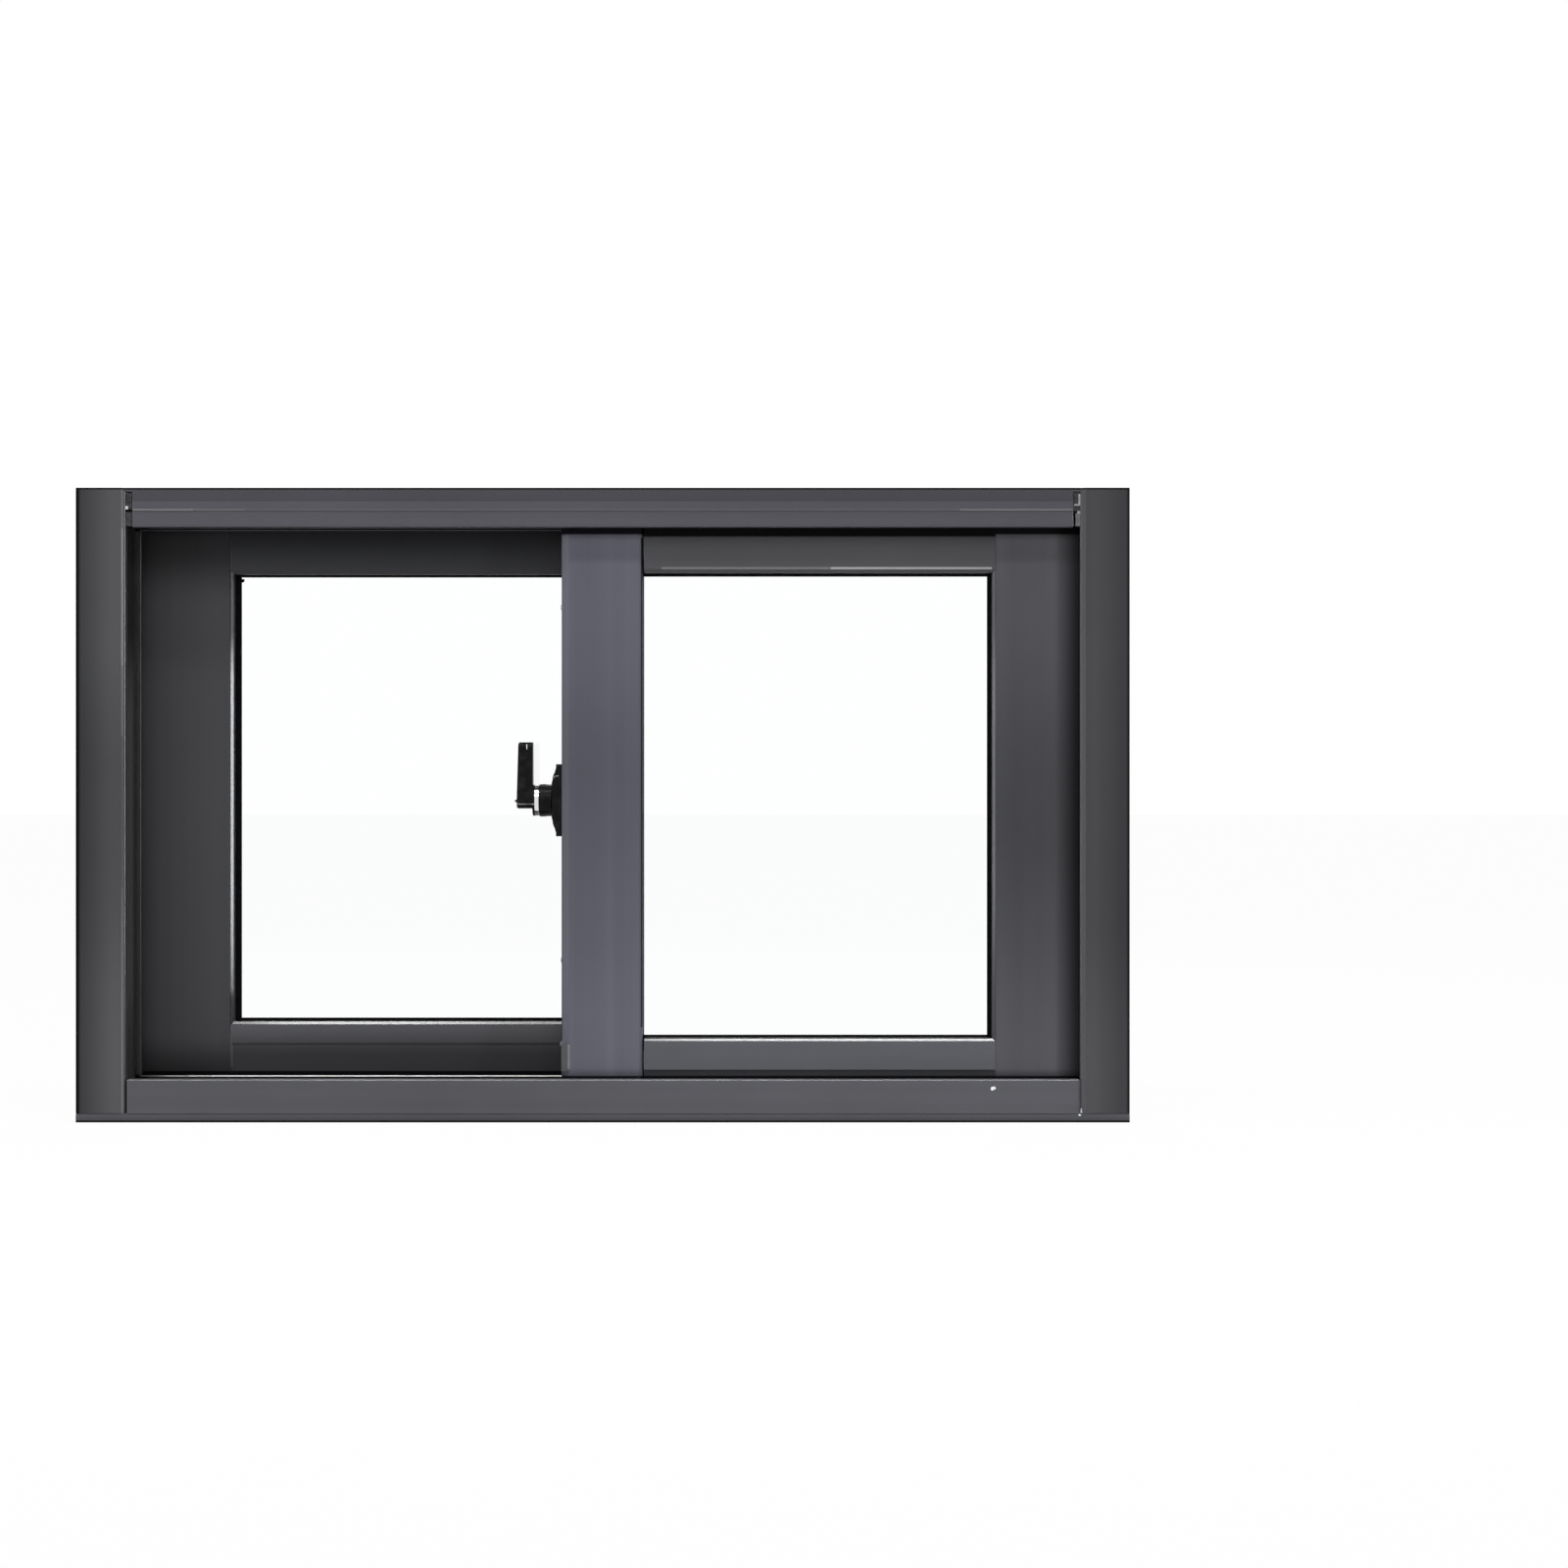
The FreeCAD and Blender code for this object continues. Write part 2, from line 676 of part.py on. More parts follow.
def interlock_pile():
    """Two brush strips between the meeting stiles, one seated on each."""
    low = FRONT.depth + SASH_DEPTH
    high = REAR.depth
    reach = high - low - TOUCH_GAP
    bottom = SILL_FIN + HOOK_END_GAP
    top = HEIGHT - HEAD_FIN - HOOK_END_GAP
    strips = []
    for x, depth, towards in ((INTERLOCK_PILE_X[0], low, 1), (INTERLOCK_PILE_X[1], high, -1)):
        outline = pile_outline(x, depth, towards, reach)
        strips.append(prism([outline], lambda across, own: point(across, own, 0), ALONG_Z, bottom, top))
    return Part.makeCompound(strips)


def end_block():
    """Filler in the outer bevel at the foot of the front meeting stile."""
    block = box(FRONT.left, FRONT.depth, END_BLOCK_BOTTOM, BEVEL, BEVEL_DEPTH, END_BLOCK_HEIGHT)
    return single(block.cut(stile_block(FRONT, "left")))


# Crescent lock, turning about a line along X

def lock_x(outwards):
    """X of a plane that stands off the free edge of the front sash."""
    return FRONT.left - outwards


def lock_disc(radius, start, length):
    centre = point(lock_x(start), FRONT.track, LOCK_HEIGHT)
    return Part.makeCylinder(radius, length, centre, -ALONG_X)


def lock_base():
    """Plate with sloped ends on the stile's edge, bored for the spindle."""
    half = LOCK_BASE_LENGTH / 2
    thickness = LOCK_BASE_THICKNESS
    foot = half - LOCK_BASE_END
    outline = [
        (lock_x(0), -half),
        (lock_x(LOCK_BASE_END_THICKNESS), -half),
        (lock_x(LOCK_BASE_END_THICKNESS), -foot),
        (lock_x(thickness), -LOCK_BASE_SHOULDER),
        (lock_x(thickness), LOCK_BASE_SHOULDER),
        (lock_x(LOCK_BASE_END_THICKNESS), foot),
        (lock_x(LOCK_BASE_END_THICKNESS), half),
        (lock_x(0), half),
    ]
    start = FRONT.track - LOCK_BASE_WIDTH / 2
    solid = prism([outline], lambda x, z: point(x, start, LOCK_HEIGHT + z), ALONG_Y, 0, LOCK_BASE_WIDTH)
    return single(solid.cut(lock_disc(SPINDLE_RADIUS + TOUCH_GAP, 0, thickness)))


def sector(low_angle, high_angle, radius, start, length):
    """Slice of a disc between two angles, counted from the weather side upwards."""
    centre = point(lock_x(start), FRONT.track, LOCK_HEIGHT)

    def rim(angle):
        turn = radians(angle)
        return centre + FreeCAD.Vector(0, radius * cos(turn), radius * sin(turn))

    arc = Part.Arc(rim(low_angle), rim((low_angle + high_angle) / 2), rim(high_angle)).toShape()
    sides = [Part.makeLine(centre, rim(low_angle)), arc, Part.makeLine(rim(high_angle), centre)]
    return Part.Face(Part.Wire(sides)).extrude(-ALONG_X * length)


def cam():
    """Claw that reaches behind the keeper's tooth and swings up and away from it."""
    start = LOCK_BASE_THICKNESS + CAM_GAP
    length = CAM_THICKNESS
    rim = sector(CAM_TIP_ANGLE, CAM_END_ANGLE, CAM_RADIUS, start, length)
    rim = rim.cut(lock_disc(CAM_RADIUS - CAM_RIM, start, length))
    web_top = LOCK_HEIGHT + CAM_RADIUS * sin(radians(CAM_END_ANGLE))
    web = box(lock_x(start + length), FRONT.track, web_top - CAM_WEB_THICKNESS, length,
              CAM_RADIUS * cos(radians(CAM_END_ANGLE)), CAM_WEB_THICKNESS)
    solid = rim.fuse(web).fuse(lock_disc(CAM_HUB_RADIUS, start, length))
    spindle = lock_disc(SPINDLE_RADIUS, start - SPINDLE_REACH - CAM_GAP, SPINDLE_REACH + CAM_GAP)
    return single(solid.fuse(spindle))


def hub_start():
    return LOCK_BASE_THICKNESS + CAM_GAP + CAM_THICKNESS


def hub():
    """Barrel between cam and ring, chamfered where the ring sits."""
    solid = lock_disc(HUB_RADIUS, hub_start(), HUB_LENGTH)
    rim = [edge for edge in solid.Edges if edge.BoundBox.XMax < lock_x(hub_start() + HUB_LENGTH / 2)]
    return solid.makeChamfer(HUB_EDGE, rim)


def ring():
    return lock_disc(RING_RADIUS, hub_start() + HUB_LENGTH, RING_LENGTH)


def lever():
    """Tapered paddle that stands up from a round boss on the lock's axis, with broken edges."""
    boss_start = hub_start() + HUB_LENGTH + RING_LENGTH
    start = boss_start + LEVER_BOSS_LENGTH
    lean = asin((LEVER_FOOT_RADIUS - LEVER_TIP_RADIUS) / LEVER_REACH)
    centre = point(lock_x(start), FRONT.track, LOCK_HEIGHT)

    def on_circle(height, radius, side):
        return centre + FreeCAD.Vector(0, side * radius * cos(lean), height + radius * sin(lean))

    foot = LEVER_FOOT_RADIUS
    tip = LEVER_TIP_RADIUS
    corners = [on_circle(0, foot, -1), on_circle(0, foot, 1),
               on_circle(LEVER_REACH, tip, 1), on_circle(LEVER_REACH, tip, -1)]
    foot_arc = Part.Arc(corners[0], centre - ALONG_Z * foot, corners[1]).toShape()
    tip_arc = Part.Arc(corners[2], centre + ALONG_Z * (LEVER_REACH + tip), corners[3]).toShape()
    edges = [foot_arc, Part.makeLine(corners[1], corners[2]), tip_arc,
             Part.makeLine(corners[3], corners[0])]
    solid = Part.Face(Part.Wire(edges)).extrude(-ALONG_X * LEVER_WIDTH)
    outer = lock_x(start + LEVER_WIDTH)
    side = [(outer, -foot), (outer + LEVER_SIDE_TAPER, LEVER_REACH + tip), (outer, LEVER_REACH + tip)]
    wedge = prism([side], lambda x, z: point(x, FRONT.track - foot, LOCK_HEIGHT + z), ALONG_Y, 0, 2 * foot)
    solid = single(solid.cut(wedge))
    outer_edges = [edge for edge in solid.Edges if edge.BoundBox.XMax < lock_x(start) - LEVER_EDGE * 2]
    solid = solid.makeChamfer(LEVER_EDGE, outer_edges)
    proud = LEVER_COLLAR_PROUD
    collar = box(outer - proud, FRONT.track - foot - proud,
                 LOCK_HEIGHT + LEVER_COLLAR_TOP - LEVER_COLLAR_HEIGHT,
                 LEVER_WIDTH + proud, 2 * (foot + proud), LEVER_COLLAR_HEIGHT)
    slot = box(lock_x(start + LEVER_SLOT_PLACE) - LEVER_SLOT_WIDTH / 2, FRONT.track - foot,
               LOCK_HEIGHT + LEVER_REACH + tip - LEVER_SLOT_LENGTH,
               LEVER_SLOT_WIDTH, foot - tip + LEVER_SLOT_DEPTH, LEVER_SLOT_LENGTH)
    boss = lock_disc(LEVER_BOSS_RADIUS, boss_start, LEVER_BOSS_LENGTH)
    return single(solid.cut(slot).fuse([collar, boss]))


def keeper():
    """Plate on the rear meeting stile whose tooth lies inside the lock's crescent."""
    back = REAR.depth
    low = LOCK_HEIGHT - KEEPER_LENGTH / 2
    plate_x = REAR.inner_right + KEEPER_INSET
    solid = box(plate_x, back - KEEPER_THICKNESS, low, KEEPER_PLATE, KEEPER_THICKNESS, KEEPER_LENGTH)
    tooth_depth = FRONT.depth + SASH_DEPTH + KEEPER_FRONT_GAP
    arm_low = LOCK_HEIGHT - KEEPER_ARM_HEIGHT / 2
    arm_end = lock_x(LOCK_BASE_THICKNESS)
    arm = box(arm_end, back - KEEPER_THICKNESS, arm_low, plate_x - arm_end, KEEPER_THICKNESS,
              KEEPER_ARM_HEIGHT)
    bridge = box(arm_end, tooth_depth, arm_low, KEEPER_THICKNESS, back - tooth_depth, KEEPER_ARM_HEIGHT)
    tooth_length = CAM_GAP + CAM_THICKNESS
    tooth = box(arm_end - tooth_length, tooth_depth, LOCK_HEIGHT - KEEPER_TOOTH_HEIGHT / 2,
                tooth_length, KEEPER_TOOTH_DEPTH, KEEPER_TOOTH_HEIGHT)
    return single(solid.fuse([arm, bridge, tooth]))


def sash_nodes(sash):
    """Every piece of one sash, by name."""
    sides = {"left": "side", "right": "side"}
    sides[sash.meeting] = "meeting"
    nodes = {
        "top_rail": rail(sash, True),
        "bottom_rail": rail(sash, False),
        "glass": glass(sash),
        "glazing_gasket": gasket(sash),
        "roller_brackets": Part.makeCompound([bracket(sash, x) for x in roller_places(sash)]),
        "roller_wheels": Part.makeCompound([wheel(sash, x) for x in roller_places(sash)]),
    }
    for side, kind in sides.items():
        nodes[kind + "_stile"] = stile(sash, side)
    return {sash.name + "_" + name: shape for name, shape in nodes.items()}


def window_nodes():
    nodes = {
        "head": head(),
        "sill": sill(),
        "left_jamb": jamb(from_left),
        "right_jamb": jamb(from_right),
        "corner_pads": corner_pads(),
        "jamb_pile_strips": jamb_pile(),
        "head_and_sill_pile_strips": head_and_sill_pile(),
        "interlock_pile_strips": interlock_pile(),
        "front_sash_end_block": end_block(),
        "lock_base": lock_base(),
        "lock_cam": cam(),
        "lock_hub": hub(),
        "lock_ring": ring(),
        "lock_lever": lever(),
        "lock_keeper": keeper(),
    }
    nodes.update(sash_nodes(FRONT))
    nodes.update(sash_nodes(REAR))
    return nodes


os.makedirs("parts", exist_ok=True)
for node_name, node_shape in window_nodes().items():
    node_shape.exportStep("parts/" + node_name + ".step")
    print(node_name, "solids", len(node_shape.Solids), "valid", node_shape.isValid(),
          "volume", round(node_shape.Volume))
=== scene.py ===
import json
import math
import random

import bmesh
import bpy
from mathutils import Matrix, Vector, noise


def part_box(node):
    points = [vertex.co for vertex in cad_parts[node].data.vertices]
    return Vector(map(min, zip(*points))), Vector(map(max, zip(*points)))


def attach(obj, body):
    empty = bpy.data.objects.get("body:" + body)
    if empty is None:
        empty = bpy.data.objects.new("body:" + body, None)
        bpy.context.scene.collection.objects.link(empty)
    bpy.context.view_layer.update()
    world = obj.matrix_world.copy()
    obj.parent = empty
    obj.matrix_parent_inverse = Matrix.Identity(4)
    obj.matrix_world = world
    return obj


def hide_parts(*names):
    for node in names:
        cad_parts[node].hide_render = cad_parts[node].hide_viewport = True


# Looks of the horizontal sliding window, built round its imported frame. Lengths are in metres,
# apart from the added pieces, whose places and sizes are given in millimetres.
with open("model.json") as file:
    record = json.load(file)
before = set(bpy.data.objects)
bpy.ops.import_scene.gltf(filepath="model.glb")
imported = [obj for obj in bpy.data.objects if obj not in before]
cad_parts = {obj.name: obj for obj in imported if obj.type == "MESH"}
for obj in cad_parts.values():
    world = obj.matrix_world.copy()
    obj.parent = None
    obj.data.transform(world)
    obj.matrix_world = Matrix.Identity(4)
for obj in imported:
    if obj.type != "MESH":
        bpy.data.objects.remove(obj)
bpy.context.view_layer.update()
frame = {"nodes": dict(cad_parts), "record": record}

WINDOW = "window"
HANDLE = "lock_handle"
X, Y, Z = range(3)

FRONT_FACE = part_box("head")[0].y
FRAME_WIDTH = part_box("sill")[1].x * 2

# Camera: looks straight at the window from the room, a little right of its middle
IMAGE_PIXELS = 1600
WINDOW_PIXELS = 1075.6
METRES_PER_PIXEL = FRAME_WIDTH / WINDOW_PIXELS
CAMERA_DISTANCE = 3.0
CAMERA_X = 0.1548
CAMERA_Z = 0.289
SENSOR_WIDTH = 36.0


# Shader helpers

# Sockets of a Mix node that are in use when it mixes colours
MIX_FACTOR, MIX_FIRST, MIX_SECOND = 0, 6, 7
MIX_RESULT = 2


class Shader:
    """A node tree with short calls for its nodes and links."""

    def __init__(self, name, world=None):
        self.owner = world or bpy.data.materials.new(name)
        self.owner.use_nodes = True
        self.tree = self.owner.node_tree
        self.tree.nodes.clear()

    def node(self, kind, inputs=None, **settings):
        made = self.tree.nodes.new(kind)
        for key, value in settings.items():
            setattr(made, key, value)
        for key, value in (inputs or {}).items():
            if isinstance(value, bpy.types.NodeSocket):
                self.tree.links.new(value, made.inputs[key])
            else:
                made.inputs[key].default_value = value
        return made

    def position(self, stretch=(1, 1, 1)):
        """Place on the object in metres, scaled by the stretch."""
        place = self.node("ShaderNodeTexCoord").outputs["Object"]
        return self.node("ShaderNodeMapping", {"Vector": place, "Scale": stretch}).outputs["Vector"]

    def noise(self, vector, scale, detail=3.0, roughness=0.5):
        inputs = {"Vector": vector, "Scale": scale, "Detail": detail, "Roughness": roughness}
        return self.node("ShaderNodeTexNoise", inputs).outputs["Fac"]

    def between(self, factor, low, high, start=0.0, end=1.0, course="LINEAR"):
        """A number from low to high as the factor goes from start to end."""
        inputs = {"Value": factor, "From Min": start, "From Max": end,
                  "To Min": low, "To Max": high}
        made = self.node("ShaderNodeMapRange", inputs, interpolation_type=course)
        return made.outputs["Result"]

    def mix_colour(self, factor, first, second):
        inputs = {MIX_FACTOR: factor, MIX_FIRST: first, MIX_SECOND: second}
        made = self.node("ShaderNodeMix", inputs, data_type="RGBA")
        return made.outputs[MIX_RESULT]

    def bump(self, height, strength, distance, under=None):
        inputs = {"Height": height, "Strength": strength, "Distance": distance}
        if under:
            inputs["Normal"] = under
        return self.node("ShaderNodeBump", inputs).outputs["Normal"]

    def math(self, operation, first, second):
        return self.node("ShaderNodeMath", {0: first, 1: second}, operation=operation).outputs[0]

    def principled(self, **inputs):
        named = {key.replace("_", " "): value for key, value in inputs.items()}
        return self.node("ShaderNodeBsdfPrincipled", named).outputs["BSDF"]

    def finish(self, surface):
        self.node("ShaderNodeOutputMaterial", {"Surface": surface})
        return self.owner


def rgba(red, green, blue):
    """A colour with full opacity, as the sockets take it."""
    return (red, green, blue, 1.0)


# Materials

# Colours of painted shade and of the metal under a chip
PAINTED_SHADE_BLACK = rgba(0.002, 0.002, 0.0022)
BARE_METAL = rgba(0.8, 0.8, 0.79)
# Streaks in the powder coat: noise scale along the extrusion and across it
FINE_STREAKS = (0.6, 90.0)
BROAD_STREAKS = (1.1, 21.0)


def rubbed_edges(made):
    """One on sloped faces that look forwards and not down, which hands and cloths polish."""
    normal = made.node("ShaderNodeTexCoord").outputs["Normal"]
    axes = made.node("ShaderNodeSeparateXYZ", {"Vector": normal}).outputs
    off_front = made.between(axes[Y], 0.0, 1.0, start=-0.97, end=-0.92)
    off_side = made.between(axes[Y], 1.0, 0.0, start=-0.6, end=-0.5)
    upwards = made.between(axes[Z], 0.0, 1.0, start=-0.2, end=-0.1)
    return made.math("MULTIPLY", made.math("MULTIPLY", off_front, off_side), upwards)


def inside_box(made, axes, low, high):
    """One between two corners, which are given in metres."""
    inside = made.math("GREATER_THAN", axes[X], low[X])
    inside = made.math("MULTIPLY", inside, made.math("LESS_THAN", axes[X], high[X]))
    for axis in (Y, Z):
        inside = made.math("MULTIPLY", inside, made.math("GREATER_THAN", axes[axis], low[axis]))
        inside = made.math("MULTIPLY", inside, made.math("LESS_THAN", axes[axis], high[axis]))
    return inside


def distance_from(made, place, middle):
    """How far a place on the object is from a middle."""
    return made.node("ShaderNodeVectorMath", {0: place, 1: middle},
                     operation="DISTANCE").outputs["Value"]


def powder_coat(name, colour, along, painted_shade, gloss, chips, highlight_strips):
    """Satin anthracite powder coat with fine grain, streaks along the extrusion, painted shade and
    painted highlights.

    Each row of painted shade gives an axis, where it starts and is full, and how much it darkens,
    and may end with the low and high corner of the box it is kept to.
    The gloss is given for flat faces and for rubbed edges.
    Each chip gives the middle and the radius of a place where the coat is gone.
    Each highlight strip gives the low and high corner of a pale place that is a painted highlight,
    and its colour.
    """
    made = Shader(name)
    place = made.position()
    fine_scale = tuple(FINE_STREAKS[axis != along] for axis in (X, Y, Z))
    broad_scale = tuple(BROAD_STREAKS[axis != along] for axis in (X, Y, Z))
    fine = made.noise(made.position(fine_scale), 1.0, 2.0)
    broad = made.noise(made.position(broad_scale), 1.0, 1.0)
    clouds = made.noise(place, 9.0, 3.0)
    streaks = made.math("ADD", made.math("MULTIPLY", fine, 0.3), made.math("MULTIPLY", broad, 0.45))
    tint = made.math("ADD", streaks, made.math("MULTIPLY", clouds, 0.25))
    dark = rgba(*[channel * 0.8 for channel in colour])
    light = rgba(*[channel * 1.18 for channel in colour])
    base = made.mix_colour(made.between(tint, 0.0, 1.0, 0.3, 0.7), dark, light)
    highlight_mask = rubbed_edges(made)
    shine = made.between(highlight_mask, *gloss)
    axes = made.node("ShaderNodeSeparateXYZ", {"Vector": place}).outputs
    highlight_breakup = made.between(broad, 0.65, 1.0, 0.35, 0.6)
    # Painted highlights: pale strips where edges, fin tips and the reveal catch the light
    for low, high, pale in highlight_strips:
        share = made.math("MULTIPLY", highlight_breakup, inside_box(made, axes, low, high))
        base = made.mix_colour(share, base, rgba(pale, pale, pale))
    # Painted shade: darkening towards corners, under the head, beside the jambs and in gaps, where
    # shade falls
    for axis, start, full, share, *box in painted_shade:
        unshaded = made.between(axes[axis], 1.0, 1.0 - share, start, full, "SMOOTHSTEP")
        if box:
            outside = made.math("SUBTRACT", 1.0, inside_box(made, axes, *box))
            unshaded = made.math("MAXIMUM", unshaded, outside)
        base = made.mix_colour(unshaded, PAINTED_SHADE_BLACK, base)
        shine = made.math("MULTIPLY", shine, unshaded)
    for middle, radius in chips:
        ragged = made.between(made.noise(place, 900.0), -0.0004, 0.0004, 0.2, 0.8)
        torn = made.math("ADD", distance_from(made, place, middle), ragged)
        pale_spot = made.between(torn, 1.0, 0.0, radius * 0.75, radius)
        base = made.mix_colour(pale_spot, base, BARE_METAL)
    grain = made.noise(place, 2600.0, 2.0, 0.6)
    peel = made.noise(place, 420.0, 2.0)
    rough = made.between(made.math("ADD", grain, clouds), 0.34, 0.5, 0.6, 1.4)
    rough = made.math("MULTIPLY", rough, made.between(highlight_mask, 1.0, 0.35))
    normal = made.bump(peel, 0.08, 0.0004, made.bump(grain, 0.2, 0.0001))
    return made.finish(made.principled(Base_Color=base, Roughness=rough, Normal=normal, IOR=1.5,
                                       Specular_IOR_Level=shine, Coat_Weight=shine,
                                       Coat_Roughness=0.12))


def clear_glass():
    """Clear float glass with a trace of green, which lets light through to what is behind it."""
    made = Shader("clear_glass")
    wave = made.noise(made.position(), 3.0, 1.0)
    normal = made.bump(wave, 0.02, 0.001)
    pane = made.principled(Base_Color=rgba(0.985, 0.995, 0.99), Roughness=0.0, IOR=1.45,
                           Transmission_Weight=1.0, Normal=normal)
    tint = rgba(0.97, 0.985, 0.98)
    clear = made.node("ShaderNodeBsdfTransparent", {"Color": tint}).outputs["BSDF"]
    path = made.node("ShaderNodeLightPath")
    through = made.math("MAXIMUM", path.outputs["Is Shadow Ray"], path.outputs["Is Diffuse Ray"])
    both = made.node("ShaderNodeMixShader", {0: through, 1: pane, 2: clear})
    return made.finish(both.outputs[0])


def rubber():
    """Black glazing rubber with a dull bloom."""
    made = Shader("glazing_rubber")
    place = made.position()
    bloom = made.noise(place, 160.0, 4.0)
    base = made.mix_colour(bloom, rgba(0.002, 0.002, 0.0024), rgba(0.008, 0.008, 0.009))
    rough = made.between(bloom, 0.6, 0.8)
    normal = made.bump(made.noise(place, 1500.0), 0.25, 0.00015)
    return made.finish(made.principled(Base_Color=base, Roughness=rough, Normal=normal,
                                       Specular_IOR_Level=0.0))


def pile():
    """Charcoal fibres of the brush strips."""
    made = Shader("pile_fibre")
    place = made.position()
    tufts = made.noise(place, 900.0, 2.0)
    base = made.mix_colour(tufts, rgba(0.008, 0.008, 0.009), rgba(0.04, 0.04, 0.042))
    rough = made.between(tufts, 0.75, 0.95)
    return made.finish(made.principled(Base_Color=base, Roughness=rough,
                                       Specular_IOR_Level=0.15, Sheen_Weight=0.2))


def foam(name, low, high):
    """Closed-cell foam with small pores."""
    made = Shader(name)
    place = made.position()
    pores = made.node("ShaderNodeTexVoronoi", {"Vector": place, "Scale": 1400.0})
    shade = made.noise(place, 260.0, 3.0)
    base = made.mix_colour(shade, rgba(*low), rgba(*high))
    rough = made.between(shade, 0.6, 0.9)
    normal = made.bump(pores.outputs["Distance"], 0.6, 0.0004)
    return made.finish(made.principled(Base_Color=base, Roughness=rough, Normal=normal,
                                       Specular_IOR_Level=0.2))


def height_from(made, place, middle):
    """How far a place on the object is above or below a middle height."""
    height = made.node("ShaderNodeSeparateXYZ", {"Vector": place}).outputs["Z"]
    return made.math("ABSOLUTE", made.math("SUBTRACT", height, middle), 0.0)


def black_enamel(name, highlight_lines=(), highlight_spots=()):
    """Black enamel on a die casting, slightly uneven, with pale lines and spots that are painted
    highlights.

    Each highlight line gives its height and half its width, and each highlight spot its middle and
    radius.
    """
    made = Shader(name)
    place = made.position()
    wear = made.noise(place, 140.0, 4.0)
    base = made.mix_colour(made.between(wear, 0.0, 1.0, 0.45, 0.8),
                           rgba(0.004, 0.004, 0.0045), rgba(0.014, 0.014, 0.0145))
    # Painted highlight lines
    for middle, half in highlight_lines:
        share = made.between(height_from(made, place, middle), 1.0, 0.0, half * 0.6, half)
        highlight_mask = made.math("MULTIPLY", share, made.between(wear, 0.4, 1.0, 0.3, 0.6))
        base = made.mix_colour(highlight_mask, base, rgba(0.3, 0.3, 0.295))
    # Painted highlight spots
    for middle, radius in highlight_spots:
        away = distance_from(made, place, middle)
        pale_spot = made.between(away, 1.0, 0.0, radius * 0.6, radius)
        base = made.mix_colour(pale_spot, base, rgba(0.3, 0.3, 0.3))
    rough = made.between(wear, 0.22, 0.42)
    normal = made.bump(made.noise(place, 700.0, 2.0), 0.12, 0.0003)
    return made.finish(made.principled(Base_Color=base, Roughness=rough, Normal=normal,
                                       Specular_IOR_Level=0.06))


def plated(name, colour, roughness, middle=0.0, bright_half=None):
    """Bright or zinc plating with fine rubbing marks.

    With a bright half, it is painted black further than that above and below its middle, a painted
    dark reflection.
    """
    made = Shader(name)
    place = made.position()
    marks = made.noise(place, 800.0, 4.0)
    low = rgba(*[channel * 0.8 for channel in colour])
    base = made.mix_colour(marks, low, rgba(*colour))
    rough = made.between(marks, roughness * 0.6, roughness * 1.5)
    # Painted dark reflection on the chrome above and below the bright band
    if bright_half:
        ragged = made.between(made.noise(place, 600.0), -0.0008, 0.0008, 0.3, 0.7)
        away = made.math("ADD", height_from(made, place, middle), ragged)
        painted_dark = made.between(away, 0.0, 1.0, bright_half, bright_half + 0.0006)
        base = made.mix_colour(painted_dark, base, rgba(0.01, 0.01, 0.01))
    normal = made.bump(marks, 0.1, 0.0002)
    return made.finish(made.principled(Base_Color=base, Roughness=rough, Metallic=1.0,
                                       Normal=normal))


def moulded(name, low, high):
    """Moulded plastic with a fine spark-eroded grain."""
    made = Shader(name)
    place = made.position()
    mottle = made.noise(place, 300.0, 3.0)
    base = made.mix_colour(mottle, rgba(*low), rgba(*high))
    rough = made.between(mottle, 0.4, 0.6)
    normal = made.bump(made.noise(place, 1800.0), 0.2, 0.0002)
    return made.finish(made.principled(Base_Color=base, Roughness=rough, Normal=normal))


# Rear sash grey, darkened as painted shade of its recess
REAR_SHADED_GREY = (0.026, 0.0265, 0.03)
# Gloss of flat faces and of rubbed edges
SATIN = (0.2, 0.23)
DULL = (0.12, 0.07)

# Low and high corners of narrow places on the extrusions
ROOM_FACE = ((-0.46, -0.056, -0.01), (0.46, -0.0535, 0.55))
LEFT_FACE_FOOT = ((-0.46, -0.056, 0.0), (-0.4, -0.0535, 0.27))
LEFT_FACE_HEAD = ((-0.46, -0.056, 0.27), (-0.4, -0.0535, 0.55))
HEAD_FIN_FRONT = ((-0.41, -0.0075, 0.5), (0.41, -0.0055, 0.53))
SILL_FIN_FRONT = ((-0.405, -0.0075, 0.02), (0.405, -0.0055, 0.036))
JAMB_FIN_FRONT = ((-0.42, -0.0075, 0.0), (-0.4088, -0.0055, 0.542))
JAMB_FIN_EDGE = ((-0.41, -0.0075, 0.0), (-0.404, -0.0055, 0.542))
JAMB_FIN_TIP = ((-0.404, -0.0075, 0.0), (-0.402, -0.0055, 0.542))
REAR_BEAD = ((-0.33, -0.0015, 0.0797), (-0.03, 0.0015, 0.083))
REAR_STILE_BEAD = ((-0.3268, -0.0015, 0.0715), (-0.323, 0.0015, 0.53))
FRONT_BEAD = ((0.03, -0.042, 0.068), (0.337, -0.0385, 0.0715))
MEETING_FOOT = ((-0.04, -0.06, 0.0), (0.04, 0.0, 0.3))
MEETING_HEAD = ((-0.04, -0.06, 0.3), (0.04, 0.0, 0.53))
FRONT_STILE_BEAD = ((0.333, -0.042, 0.0), (0.3366, -0.0385, 0.53))
FRONT_STILE_FOOT = ((0.3, -0.06, 0.0), (0.42, 0.0, 0.28))
FRONT_STILE_HEAD = ((0.3, -0.06, 0.28), (0.42, 0.0, 0.53))
MEETING_RIGHT_EDGE = ((0.03, -0.042, 0.08), (0.034, -0.038, 0.5))
MEETING_LEFT_EDGE = ((-0.037, -0.042, 0.069), (-0.035, -0.036, 0.243))
